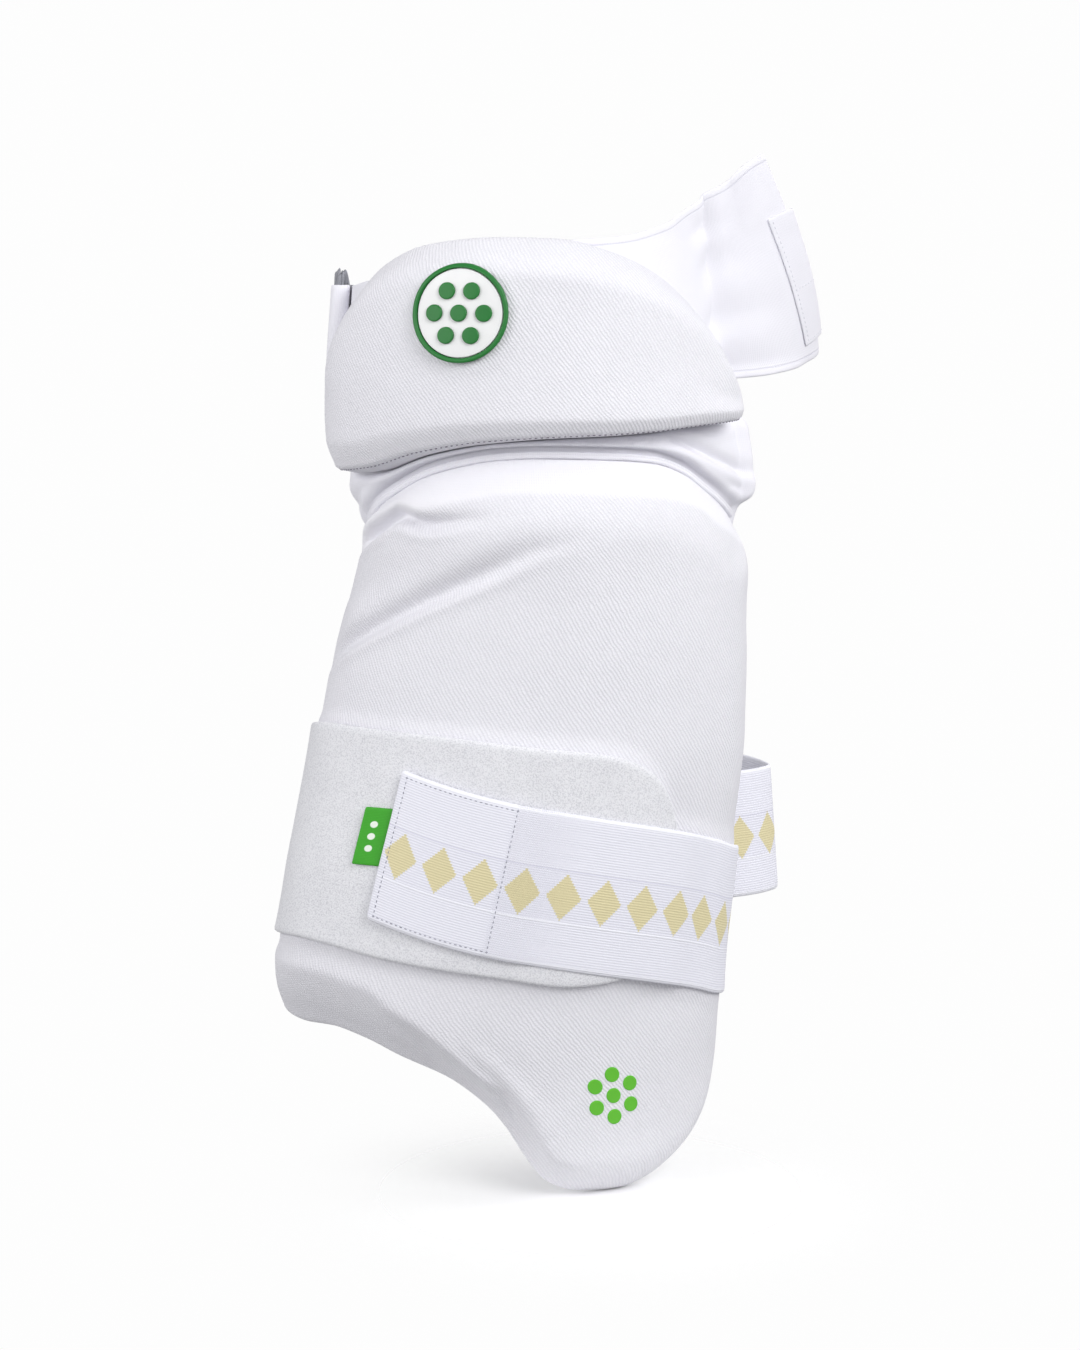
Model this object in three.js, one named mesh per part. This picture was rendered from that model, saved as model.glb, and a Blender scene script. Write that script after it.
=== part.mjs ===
// A cricket thigh guard in the form it has when worn: a hip pad above a thigh pad, joined by a
// stretch panel, with a loop-pile wrap, two elastic straps, a waist belt and a moulded badge.
// Millimetres, +Z up. The outside of the guard faces -Y, and the leg is behind it. The origin is
// on the thigh's axis, level with the middle of the straps.
import * as THREE from "three";

// Overall sizes
const guardLength = 480; // hip pad's top edge to the thigh pad's tip
const hollowWidth = 210; // the space for the thigh, side to side at the straps
const hollowDepth = 186; // the space for the thigh, front to back at the straps

// Pads
const padWrapAngle = 75; // how far each pad reaches round the leg on either side, in degrees
const thighPadThickness = 26;
const hipPadThickness = 25;
const thighSideRound = 46; // how far in from the side edges the foam reaches its full thickness
const hipSideRound = 40;
const hipChamfer = 10; // bevel along the hip pad's lower edge
const hipTopRound = 20; // rounding along the hip pad's upper edge
const thighTopRise = 52; // how far below its upper edge the thigh pad is full
const thighCornerRise = 24; // and at its upper corners

// Cloth, straps and trim
const clearance = 0.4; // gap between two pieces that touch
const reliefGap = 0.8; // gap between a cloth layer and the crowned foam that it lies on
const panelThickness = 1.8;
const pipingDiameter = 4.4;
const wrapThickness = 3;
const strapThickness = 1.8;
const frontStrapWidth = 78;
const backStrapWidth = 69;
const hookPatchThickness = 1.6;
const hookPatchInset = 1.5; // strap left showing round the hook patch
const hookPatchSpan = 28; // degrees round the leg
const labelThickness = 0.8;
const labelSpan = 7; // degrees that the label stands out past the strap's end
const labelWidth = 30;
const beltThickness = 1.6;
const beltTabWidth = 24;
const beltTabHeight = 68;
const beltTabThickness = 1.8;
const beltTabOverhang = 4; // how far the tab stands past the belt's end
const backBeltHeight = 68;
const backBeltRollDiameter = 14;

// Badge
const badgeDiameter = 49;
const badgeRimWidth = 2.6;
const badgeBaseThickness = 2.2;
const badgeRimHeight = 3.2;
const badgeStudDiameter = 8.4;
const badgeStudSpacing = 12.6;
const badgeStudHeight = 1.3;
const badgeStudsRound = 6; // studs round the middle one

const { degToRad, clamp, lerp, smoothstep } = THREE.MathUtils;

// The leg and hip that the guard wraps. Heights and shifts are shares: level of guardLength,
// side and back of hollowWidth and hollowDepth, and so are the section's width and depth.
const legForm = [
  { level: -0.38, side: -0.06, back: 0.03, width: 0.95, depth: 0.91 },
  { level: -0.27, side: -0.079, back: 0.012, width: 1.008, depth: 0.945 },
  { level: -0.17, side: -0.108, back: 0.0, width: 1.085, depth: 0.98 },
  { level: -0.09, side: -0.074, back: 0.0, width: 1.033, depth: 0.99 },
  { level: 0.0, side: -0.043, back: 0.0, width: 1.015, depth: 1.0 },
  { level: 0.115, side: -0.004, back: 0.0, width: 0.99, depth: 1.0 },
  { level: 0.18, side: 0.01, back: 0.0, width: 0.967, depth: 0.99 },
  { level: 0.245, side: 0.029, back: 0.0, width: 0.926, depth: 0.98 },
  { level: 0.305, side: 0.045, back: 0.0, width: 0.895, depth: 0.97 },
  { level: 0.345, side: 0.037, back: 0.0, width: 0.927, depth: 0.975 },
  { level: 0.39, side: 0.025, back: 0.0, width: 0.975, depth: 0.985 },
  { level: 0.45, side: 0.016, back: 0.0, width: 0.971, depth: 1.0 },
  { level: 0.54, side: -0.003, back: 0.01, width: 0.931, depth: 1.0 },
  { level: 0.66, side: 0.0, back: 0.025, width: 0.9, depth: 0.98 },
];

// Outlines of the pads: across runs from -1 at the left side edge to 1 at the right one, and
// heights are shares of guardLength.
const thighPadTop = [
  { across: -1.0, height: 0.305 },
  { across: -0.97, height: 0.326 },
  { across: -0.9, height: 0.346 },
  { across: -0.76, height: 0.367 },
  { across: -0.6, height: 0.388 },
  { across: -0.45, height: 0.407 },
  { across: -0.3, height: 0.419 },
  { across: -0.15, height: 0.4262 },
  { across: 0.0, height: 0.4285 },
  { across: 0.3, height: 0.4255 },
  { across: 0.45, height: 0.4208 },
  { across: 0.57, height: 0.4095 },
  { across: 0.7, height: 0.3885 },
  { across: 0.85, height: 0.3675 },
  { across: 1.0, height: 0.35 },
];
const thighPadBottom = [
  { across: -1.0, height: -0.186 },
  { across: -0.96, height: -0.192 },
  { across: -0.8, height: -0.193 },
  { across: -0.6, height: -0.1905 },
  { across: -0.46, height: -0.1985 },
  { across: -0.32, height: -0.2165 },
  { across: -0.18, height: -0.2345 },
  { across: -0.08, height: -0.2585 },
  { across: 0.0, height: -0.287 },
  { across: 0.08, height: -0.329 },
  { across: 0.15, height: -0.356 },
  { across: 0.26, height: -0.3695 },
  { across: 0.44, height: -0.3725 },
  { across: 0.6, height: -0.3645 },
  { across: 0.76, height: -0.34 },
  { across: 0.92, height: -0.288 },
  { across: 1.0, height: -0.24 },
];
// How far up the bevel of the thigh pad's lower edge reaches, in millimetres square to the edge.
const thighBevel = [
  { across: -1.0, reach: 34 },
  { across: -0.7, reach: 33 },
  { across: -0.4, reach: 31 },
  { across: -0.24, reach: 27 },
  { across: -0.09, reach: 16 },
  { across: 0.0, reach: 13 },
  { across: 0.12, reach: 14 },
  { across: 0.35, reach: 24 },
  { across: 1.0, reach: 24 },
];
const hipPadTop = [
  { across: -1.0, height: 0.46 },
  { across: -0.97, height: 0.5 },
  { across: -0.9, height: 0.55 },
  { across: -0.8, height: 0.588 },
  { across: -0.62, height: 0.63 },
  { across: -0.42, height: 0.65 },
  { across: -0.15, height: 0.658 },
  { across: 0.1, height: 0.656 },
  { across: 0.3, height: 0.643 },
  { across: 0.5, height: 0.621 },
  { across: 0.7, height: 0.581 },
  { across: 0.86, height: 0.533 },
  { across: 0.96, height: 0.509 },
  { across: 1.0, height: 0.495 },
];
const hipPadBottom = [
  { across: -1.0, height: 0.41 },
  { across: -0.9, height: 0.4065 },
  { across: -0.66, height: 0.413 },
  { across: -0.42, height: 0.4325 },
  { across: -0.2, height: 0.4445 },
  { across: 0.0, height: 0.4495 },
  { across: 0.4, height: 0.4545 },
  { across: 0.62, height: 0.4595 },
  { across: 0.8, height: 0.4615 },
  { across: 0.93, height: 0.463 },
  { across: 1.0, height: 0.4685 },
];

// Upper and lower edges of the loop-pile wrap, from the back of the leg to its rounded front end.
const wrapOutline = [
  { angle: -165, top: 0.068, bottom: -0.08 },
  { angle: -140, top: 0.083, bottom: -0.09 },
  { angle: -110, top: 0.106, bottom: -0.101 },
  { angle: -80, top: 0.121, bottom: -0.108 },
  { angle: -65, top: 0.137, bottom: -0.096 },
  { angle: -50, top: 0.145, bottom: -0.089 },
  { angle: -25, top: 0.143, bottom: -0.1 },
  { angle: 0, top: 0.133, bottom: -0.114 },
  { angle: 18, top: 0.1225, bottom: -0.126 },
  { angle: 26, top: 0.109, bottom: -0.124 },
  { angle: 32, top: 0.086, bottom: -0.112 },
  { angle: 37.5, top: 0.035, bottom: -0.07 },
];

// Middle line of the front strap, from its free end to the right edge of the thigh pad.
const frontStrapLine = [
  { angle: -36, height: 0.034 },
  { angle: -14, height: 0.0055 },
  { angle: 0, height: -0.0098 },
  { angle: 19, height: -0.0275 },
  { angle: 38, height: -0.047 },
  { angle: 50, height: -0.0625 },
  { angle: 60, height: -0.077 },
  { angle: 80, height: -0.094 },
];

// How the front strap turns round the pad's right edge and is sewn behind it. Reach is the share
// of the pad's edge thickness that the strap stands off the leg.
const frontStrapTurn = [
  { angle: 76.9, reach: 0.92 },
  { angle: 77.8, reach: 0.5 },
  { angle: 77.2, reach: 0.14 },
  { angle: 75.8, reach: -0.1 },
  { angle: 73, reach: -0.16 },
  { angle: 66, reach: -0.16 },
];

// Middle line of the back strap, from behind the pad's right edge, in a slack bow beside the leg
// and round its back to the wrap's end. Lift is a share of hollowWidth.
const backStrapLine = [
  { angle: 62, height: -0.009, lift: -0.0215 },
  { angle: 80, height: -0.008, lift: -0.0215 },
  { angle: 84, height: -0.007, lift: -0.006 },
  { angle: 88.5, height: -0.006, lift: 0.055 },
  { angle: 94, height: -0.006, lift: 0.125 },
  { angle: 100, height: -0.006, lift: 0.172 },
  { angle: 112, height: -0.006, lift: 0.168 },
  { angle: 132, height: -0.006, lift: 0.12 },
  { angle: 158, height: -0.006, lift: 0.062 },
  { angle: 184, height: -0.006, lift: 0.033 },
  { angle: 202, height: -0.006, lift: 0.033 },
];

// The waist belt, from behind the hip pad to its end, which stands free of the hip.
const beltLine = [
  { angle: -40, height: 0.573, width: 0.15, lift: 0 },
  { angle: 0, height: 0.575, width: 0.158, lift: 0 },
  { angle: 30, height: 0.577, width: 0.166, lift: 0 },
  { angle: 52, height: 0.586, width: 0.178, lift: 0 },
  { angle: 66, height: 0.597, width: 0.191, lift: 0 },
  { angle: 75, height: 0.603, width: 0.2, lift: 0 },
  { angle: 80, height: 0.608, width: 0.207, lift: 0.046 },
  { angle: 87, height: 0.616, width: 0.214, lift: 0.12 },
  { angle: 102, height: 0.643, width: 0.225, lift: 0.278 },
];

// A smooth curve through a table's rows, which never swings past them.
function curveThrough(rows, along, column) {
  const xs = rows.map((row) => row[along]);
  const ys = rows.map((row) => row[column]);
  const rise = xs.slice(1).map((x, i) => (ys[i + 1] - ys[i]) / (x - xs[i]));
  const slopes = xs.map((_, i) => {
    const before = rise[Math.max(i - 1, 0)];
    const after = rise[Math.min(i, rise.length - 1)];
    return before * after > 0 ? (2 * before * after) / (before + after) : 0;
  });
  return (x) => {
    let i = 0;
    while (i < xs.length - 2 && x > xs[i + 1]) i += 1;
    const span = xs[i + 1] - xs[i];
    const t = clamp((x - xs[i]) / span, 0, 1);
    const near = 1 - t;
    return (
      near * near * (1 + 2 * t) * ys[i] +
      t * t * (3 - 2 * t) * ys[i + 1] +
      near * near * t * span * slopes[i] -
      t * t * near * span * slopes[i + 1]
    );
  };
}

const legAt = Object.fromEntries(
  ["side", "back", "width", "depth"].map((column) => [column, curveThrough(legForm, "level", column)]),
);

// A point at an angle round the leg, a height, and a lift off the leg. Angle 0 is the front, and
// 90 the right side.
function pointOnLeg(angle, height, lift) {
  const level = height / guardLength;
  const radiusX = (legAt.width(level) * hollowWidth) / 2;
  const radiusY = (legAt.depth(level) * hollowDepth) / 2;
  const turn = degToRad(angle);
  const outward = new THREE.Vector2(radiusY * Math.sin(turn), -radiusX * Math.cos(turn)).normalize();
  return new THREE.Vector3(
    legAt.side(level) * hollowWidth + radiusX * Math.sin(turn) + outward.x * lift,
    legAt.back(level) * hollowDepth - radiusY * Math.cos(turn) + outward.y * lift,
    height,
  );
}

const millimetresPerDegree = degToRad(1) * (hollowWidth / 2);

// How much of its full thickness a crowned edge has left, a distance in from the edge.
const crowned = (distance, reach, atEdge) => 1 - (1 - atEdge) * (1 - clamp(distance / reach, 0, 1)) ** 2;
const bevelled = (distance, reach, atEdge) => lerp(atEdge, 1, clamp(distance / reach, 0, 1));

// Distance from a point to an edge that may slope, measured square to the edge.
function distanceToEdge(edge, angle, height) {
  const step = 2;
  const slope = (edge(angle + step) - edge(angle - step)) / (2 * step * millimetresPerDegree);
  return Math.abs(height - edge(angle)) / Math.hypot(1, slope);
}

const edgeCurve = (table) => {
  const curve = curveThrough(table, "across", "height");
  return (angle) => curve(angle / padWrapAngle) * guardLength;
};
const thighTopEdge = edgeCurve(thighPadTop);
const thighBottomEdge = edgeCurve(thighPadBottom);
const hipTopEdge = edgeCurve(hipPadTop);
const hipBottomEdge = edgeCurve(hipPadBottom);

// Soft creases pressed into the thigh pad: from and to are places on it, angles in degrees and
// heights as shares of guardLength. Depth is a share of the pad's thickness.
const thighCreases = [
  { fromAngle: 14, fromHeight: 0.352, toAngle: -70, toHeight: 0.212, width: 11, depth: 0.2 },
  { fromAngle: -3, fromHeight: 0.381, toAngle: -50, toHeight: 0.357, width: 7, depth: 0.13 },
];

function creaseDepth(crease, angle, height) {
  const from = new THREE.Vector2(crease.fromAngle * millimetresPerDegree, crease.fromHeight * guardLength);
  const to = new THREE.Vector2(crease.toAngle * millimetresPerDegree, crease.toHeight * guardLength);
  const along = to.clone().sub(from);
  const here = new THREE.Vector2(angle * millimetresPerDegree, height).sub(from);
  const share = clamp(here.dot(along) / along.lengthSq(), 0, 1);
  const away = here.distanceTo(along.clone().multiplyScalar(share));
  const fade = Math.sin(Math.PI * clamp(share, 0.04, 0.8)) ** 0.5;
  return crease.depth * thighPadThickness * fade * Math.exp(-((away / crease.width) ** 2));
}

const sideShare = 0.42; // share of a pad's thickness that is left at its side edges
const lowerEdgeShare = 0.2; // and at the foot of the thigh pad's bevel
const upperLipShare = 0.12; // and at the thigh pad's upper lip
const hipUpperShare = 0.3; // and at the hip pad's upper edge
const hipFootShare = 0.56; // and at the foot of its bevel

// The thigh pad's bevel turns into a soft roll towards the tip.
const thighBevelAt = curveThrough(thighBevel, "across", "reach");
const bevelUntil = 0.12; // share across
const rollFrom = 0.35;

function thighEdgeFall(angle, height) {
  const across = angle / padWrapAngle;
  const distance = distanceToEdge(thighBottomEdge, angle, height);
  const reach = thighBevelAt(across);
  const roll = smoothstep(across, bevelUntil, rollFrom);
  return lerp(bevelled(distance, reach, lowerEdgeShare), crowned(distance, reach, lowerEdgeShare), roll);
}

function thighPadLift(angle, height) {
  const toSide = (padWrapAngle - Math.abs(angle)) * millimetresPerDegree;
  const rise = lerp(thighCornerRise, thighTopRise, smoothstep(toSide, 0, thighSideRound));
  const full =
    thighPadThickness *
    crowned(toSide, thighSideRound, sideShare) *
    crowned(distanceToEdge(thighTopEdge, angle, height), rise, upperLipShare) *
    thighEdgeFall(angle, height);
  return full - thighCreases.reduce((sum, crease) => sum + creaseDepth(crease, angle, height), 0);
}

function hipPadLift(angle, height) {
  const toSide = (padWrapAngle - Math.abs(angle)) * millimetresPerDegree;
  return (
    hipPadThickness *
    crowned(toSide, hipSideRound, sideShare) *
    crowned(distanceToEdge(hipTopEdge, angle, height), hipTopRound, hipUpperShare) *
    bevelled(distanceToEdge(hipBottomEdge, angle, height), hipChamfer, hipFootShare)
  );
}

// A closed solid between two grids of points, the first of which faces the leg. Both grids have
// columns that go round the leg from left to right, and rows that go down.
function solidBetween(inner, outer) {
  const columns = outer.length - 1;
  const rows = outer[0].length - 1;
  const layer = (columns + 1) * (rows + 1);
  const positions = [...outer.flat(), ...inner.flat()].flatMap((point) => point.toArray());
  const at = (i, j, side) => side * layer + i * (rows + 1) + j;
  const faces = [];
  const quad = (a, b, c, d) => faces.push(a, b, c, a, c, d);
  for (let i = 0; i < columns; i += 1) {
    for (let j = 0; j < rows; j += 1) {
      quad(at(i, j, 0), at(i, j + 1, 0), at(i + 1, j + 1, 0), at(i + 1, j, 0));
      quad(at(i, j, 1), at(i + 1, j, 1), at(i + 1, j + 1, 1), at(i, j + 1, 1));
    }
    quad(at(i, 0, 0), at(i + 1, 0, 0), at(i + 1, 0, 1), at(i, 0, 1));
    quad(at(i, rows, 0), at(i, rows, 1), at(i + 1, rows, 1), at(i + 1, rows, 0));
  }
  for (let j = 0; j < rows; j += 1) {
    quad(at(0, j, 0), at(0, j, 1), at(0, j + 1, 1), at(0, j + 1, 0));
    quad(at(columns, j, 0), at(columns, j + 1, 0), at(columns, j + 1, 1), at(columns, j, 1));
  }
  const geometry = new THREE.BufferGeometry();
  geometry.setAttribute("position", new THREE.Float32BufferAttribute(positions, 3));
  geometry.setIndex(faces);
  geometry.computeVertexNormals();
  return geometry;
}

const grid = (columns, rows, place) =>
  Array.from({ length: columns + 1 }, (_, i) =>
    Array.from({ length: rows + 1 }, (_, j) => place(i / columns, j / rows)),
  );

// A sheet of even thickness, whose middle surface is a grid.
function sheetSolid(middle, thickness) {
  const last = middle.length - 1;
  const lastRow = middle[0].length - 1;
  const offset = (side) =>
    middle.map((column, i) =>
      column.map((point, j) => {
        const along = middle[Math.min(i + 1, last)][j].clone().sub(middle[Math.max(i - 1, 0)][j]);
        const down = column[Math.min(j + 1, lastRow)].clone().sub(column[Math.max(j - 1, 0)]);
        const outward = down.cross(along).normalize();
        return point.clone().addScaledVector(outward, (side * thickness) / 2);
      }),
    );
  return solidBetween(offset(-1), offset(1));
}

// A foam pad between its outline's upper and lower edges, with its back on the leg.
function padSolid(columns, rows, topEdge, bottomEdge, lift) {
  const place = (liftOf) =>
    grid(columns, rows, (across, down) => {
      const angle = lerp(-padWrapAngle, padWrapAngle, across);
      const spread = 0.5 - 0.5 * Math.cos(Math.PI * down);
      const height = lerp(topEdge(angle), bottomEdge(angle), lerp(down, spread, 0.7));
      return pointOnLeg(angle, height, liftOf(angle, height));
    });
  return solidBetween(place(() => 0), place(lift));
}

const whiteCloth = { color: 0xf0f0f3, roughness: 0.95, metalness: 0 };
const finishes = {
  padCloth: new THREE.MeshStandardMaterial(whiteCloth),
  jersey: new THREE.MeshStandardMaterial({ ...whiteCloth, color: 0xf4f3f8 }),
  loopPile: new THREE.MeshStandardMaterial({ ...whiteCloth, color: 0xececee, roughness: 1 }),
  elastic: new THREE.MeshStandardMaterial({ ...whiteCloth, color: 0xe9e8f3, roughness: 0.85 }),
  hookTape: new THREE.MeshStandardMaterial({ ...whiteCloth, color: 0xeeeeee, roughness: 0.7 }),
  label: new THREE.MeshStandardMaterial({ color: 0x35a81f, roughness: 0.8, metalness: 0 }),
  whiteRubber: new THREE.MeshStandardMaterial({ color: 0xf2f2f2, roughness: 0.6, metalness: 0 }),
  greenRubber: new THREE.MeshStandardMaterial({ color: 0x23853c, roughness: 0.5, metalness: 0 }),
};

const guard = new THREE.Group();

function add(name, geometry, finish) {
  const mesh = new THREE.Mesh(geometry, finish);
  mesh.name = name;
  guard.add(mesh);
}

add("thigh_pad", padSolid(26, 24, thighTopEdge, thighBottomEdge, thighPadLift), finishes.padCloth);
add("hip_pad", padSolid(24, 13, hipTopEdge, hipBottomEdge, hipPadLift), finishes.padCloth);

// The stretch panel joins the pads. Its ends lie flat behind them, and between them it is loose,
// and bulges and folds at the sides.
const panelReach = 82.5; // degrees round the leg, on either side
const panelTuckUp = 0.031; // how far it goes up behind the hip pad, as a share of guardLength
const panelTuckDown = 0.065; // and down behind the thigh pad
const panelColumns = 33;
const panelTuckRows = 3;
const panelLooseRows = 7;
const panelStart = 1.2; // how far below the hip pad's edge it comes loose
const panelLeftBulge = 4; // how far its sides stand out between the pads
const panelRightBulge = 7;
const panelFolds = [
  { fromAngle: 38, fromHeight: 0.44, toAngle: 82, toHeight: 0.405, width: 4.5, height: 4 },
  { fromAngle: -50, fromHeight: 0.4, toAngle: -82, toHeight: 0.375, width: 4.5, height: 2 },
];
const tuckedLift = -reliefGap - panelThickness / 2;

// How much further up than across the thigh pad's upper edge a distance square to it reaches.
function thighTopSteepness(angle) {
  const slope = (thighTopEdge(angle + 1) - thighTopEdge(angle - 1)) / (2 * millimetresPerDegree);
  return Math.hypot(1, slope);
}
const pipingRoom = pipingDiameter + 4 * reliefGap;

function foldHeight(fold, angle, height) {
  const along = new THREE.Vector2(
    (fold.toAngle - fold.fromAngle) * millimetresPerDegree,
    (fold.toHeight - fold.fromHeight) * guardLength,
  );
  const here = new THREE.Vector2(
    (angle - fold.fromAngle) * millimetresPerDegree,
    height - fold.fromHeight * guardLength,
  );
  const share = clamp(here.dot(along) / along.lengthSq(), 0, 1);
  const away = here.distanceTo(along.clone().multiplyScalar(share));
  return fold.height * smoothstep(share, 0, 0.4) * Math.exp(-((away / fold.width) ** 2));
}

function panelGrid() {
  const rows = panelTuckRows * 2 + panelLooseRows;
  return grid(panelColumns, rows, (across, down) => {
    const angle = lerp(-panelReach, panelReach, across);
    const edgeAngle = clamp(angle, -padWrapAngle, padWrapAngle);
    const upper = hipBottomEdge(edgeAngle) - panelStart;
    const lower = thighTopEdge(edgeAngle) + pipingRoom * thighTopSteepness(edgeAngle);
    const loose = (down * rows - panelTuckRows) / panelLooseRows;
    const height =
      lerp(upper, lower, clamp(loose, 0, 1)) +
      Math.max((-loose * panelLooseRows) / panelTuckRows, 0) * panelTuckUp * guardLength -
      Math.max(((loose - 1) * panelLooseRows) / panelTuckRows, 0) * panelTuckDown * guardLength;
    const swell = Math.sin(Math.PI * clamp(loose, 0, 1)) ** 2;
    const sideways = smoothstep(Math.abs(angle), 52, panelReach);
    const bulge = angle > 0 ? panelRightBulge : panelLeftBulge;
    const folds = panelFolds.reduce((sum, fold) => sum + foldHeight(fold, angle, height), 0);
    return pointOnLeg(angle, height, tuckedLift + swell * (bulge * sideways + folds));
  });
}
add("stretch_panel", sheetSolid(panelGrid(), panelThickness), finishes.jersey);

// A closed solid through a row of rings of points. It ends in caps unless it closes on itself.
function loftRings(rings, closesOnItself) {
  const around = rings[0].length;
  const positions = rings.flat().flatMap((point) => point.toArray());
  const spans = closesOnItself ? rings.length : rings.length - 1;
  const at = (i, k) => (i % rings.length) * around + (k % around);
  const faces = [];
  for (let i = 0; i < spans; i += 1) {
    for (let k = 0; k < around; k += 1) {
      faces.push(at(i, k), at(i, k + 1), at(i + 1, k + 1), at(i, k), at(i + 1, k + 1), at(i + 1, k));
    }
  }
  for (let k = 1; !closesOnItself && k < around - 1; k += 1) {
    faces.push(at(0, 0), at(0, k + 1), at(0, k));
    faces.push(at(spans, 0), at(spans, k), at(spans, k + 1));
  }
  const geometry = new THREE.BufferGeometry();
  geometry.setAttribute("position", new THREE.Float32BufferAttribute(positions, 3));
  geometry.setIndex(faces);
  geometry.computeVertexNormals();
  return geometry;
}

// Piping along the thigh pad's upper edge.
const pipingSteps = 32;
const pipingSides = 8;
const pipingReach = padWrapAngle - 1.8; // degrees round the leg, on either side

function pipingSolid() {
  const radius = pipingDiameter / 2;
  const rings = Array.from({ length: pipingSteps + 1 }, (_, i) => {
    const angle = lerp(-pipingReach, pipingReach, i / pipingSteps);
    const slope = (thighTopEdge(angle + 1) - thighTopEdge(angle - 1)) / (2 * millimetresPerDegree);
    const steep = Math.hypot(1, slope);
    const rise = radius + reliefGap;
    const centreAngle = angle - (rise * slope) / steep / millimetresPerDegree;
    const centreHeight = thighTopEdge(angle) + rise / steep;
    return Array.from({ length: pipingSides }, (_, k) => {
      const turn = (2 * Math.PI * k) / pipingSides;
      const up = radius * Math.cos(turn);
      return pointOnLeg(
        centreAngle - (up * slope) / steep / millimetresPerDegree,
        centreHeight + up / steep,
        radius + radius * Math.sin(turn),
      );
    });
  });
  return loftRings(rings, false);
}
add("pad_piping", pipingSolid(), finishes.jersey);

// The loop-pile wrap lies on the thigh pad and goes round its left edge to the back of the leg.
const wrapSpacing = 4.5; // degrees between its columns
const wrapRows = 8;
const wrapBackLift = 3.5; // how far its middle stands off the back of the leg
const wrapTopAt = curveThrough(wrapOutline, "angle", "top");
const wrapBottomAt = curveThrough(wrapOutline, "angle", "bottom");
const padEdgeLift = thighPadThickness * sideShare;

function thighSurfaceLift(angle, height) {
  if (Math.abs(angle) <= padWrapAngle) return thighPadLift(angle, height);
  return lerp(padEdgeLift, 0, smoothstep(Math.abs(angle), padWrapAngle, padWrapAngle + 30));
}

const wrapMiddleLift = (angle, height) =>
  Math.max(thighSurfaceLift(angle, height) + reliefGap + wrapThickness / 2, wrapBackLift);

function wrapGrid() {
  const from = wrapOutline[0].angle;
  const to = wrapOutline[wrapOutline.length - 1].angle;
  return grid(Math.round((to - from) / wrapSpacing), wrapRows, (across, down) => {
    const angle = lerp(from, to, across);
    const height = lerp(wrapTopAt(angle), wrapBottomAt(angle), down) * guardLength;
    return pointOnLeg(angle, height, wrapMiddleLift(angle, height));
  });
}
add("loop_wrap", sheetSolid(wrapGrid(), wrapThickness), finishes.loopPile);

// The front strap: its free end lies on the wrap, with the hook patch between them, and its
// other end turns round the pad's right edge.
const strapRows = 4;
const strapFall = 0.2; // mean fall of the front strap for its length
const strapEndAngle = -30; // at the middle of the free end
const strapEndLean = 3; // degrees between the free end's corners
const strapTurnsFrom = 75; // where it leaves the pad's face
const strapTurnSlack = 2.5; // degrees that its turn stands off further at the upper edge
const strapFaceColumns = 28;
const wrapEndAngle = wrapOutline[wrapOutline.length - 1].angle;
const strapHeightAt = curveThrough(frontStrapLine, "angle", "height");

const wrapOuterLift = (angle, height) => wrapMiddleLift(angle, height) + wrapThickness / 2;
const patchMiddleLift = (angle, height) =>
  wrapOuterLift(angle, height) + clearance + hookPatchThickness / 2;

function strapFaceLift(angle, height) {
  const onPad = thighSurfaceLift(angle, height) + reliefGap;
  const onWrap = wrapThickness + clearance;
  const onPatch = hookPatchThickness + clearance;
  const pastPatch = smoothstep(angle, strapEndAngle + hookPatchSpan + 2, strapEndAngle + hookPatchSpan + 10);
  const pastWrap = smoothstep(angle, wrapEndAngle + 2, wrapEndAngle + 11);
  return onPad + onWrap * (1 - pastWrap) + onPatch * (1 - pastPatch) + strapThickness / 2;
}

function strapHeight(angle, down, width) {
  const tall = width * Math.hypot(1, strapFall);
  return strapHeightAt(angle) * guardLength + (0.5 - down) * tall;
}

function frontStrapGrid() {
  const columns = strapFaceColumns + frontStrapTurn.length;
  return grid(columns, strapRows, (across, down) => {
    const column = Math.round(across * columns);
    const endShift = strapEndLean * (0.5 - down);
    if (column <= strapFaceColumns) {
      const share = column / strapFaceColumns;
      const angle = lerp(strapEndAngle + endShift, strapTurnsFrom, share);
      const height = strapHeight(angle, down, frontStrapWidth);
      return pointOnLeg(angle, height, strapFaceLift(angle, height));
    }
    const { angle, reach } = frontStrapTurn[column - strapFaceColumns - 1];
    const height = strapHeight(padWrapAngle, down, frontStrapWidth);
    const slack = strapTurnSlack * (1 - down) * clamp(reach, 0, 0.6);
    return pointOnLeg(angle + slack, height, reach * (padEdgeLift + strapThickness));
  });
}
add("front_strap", sheetSolid(frontStrapGrid(), strapThickness), finishes.elastic);

const hookPatchGrid = grid(10, 2, (across, down) => {
  const inset = hookPatchInset / millimetresPerDegree;
  const from = strapEndAngle + inset + strapEndLean * (0.5 - down);
  const angle = lerp(from, strapEndAngle + hookPatchSpan, across);
  const height = strapHeight(angle, down, frontStrapWidth - 2 * hookPatchInset);
  return pointOnLeg(angle, height, patchMiddleLift(angle, height));
});
add("hook_patch", sheetSolid(hookPatchGrid, hookPatchThickness), finishes.hookTape);

// The folded label that stands out past the strap's free end.
const labelCentre = 0.032; // height, as a share of guardLength
const labelGrid = grid(4, 2, (across, down) => {
  const height = labelCentre * guardLength + (0.5 - down) * labelWidth;
  const above = height - strapHeightAt(strapEndAngle) * guardLength;
  const strapEdge = strapEndAngle + (strapEndLean * above) / frontStrapWidth;
  const angle = strapEdge - clearance / millimetresPerDegree - labelSpan * (1 - across);
  return pointOnLeg(angle, height, wrapOuterLift(angle, height) + clearance + labelThickness / 2);
});
add("label_tab", sheetSolid(labelGrid, labelThickness), finishes.label);

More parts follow.
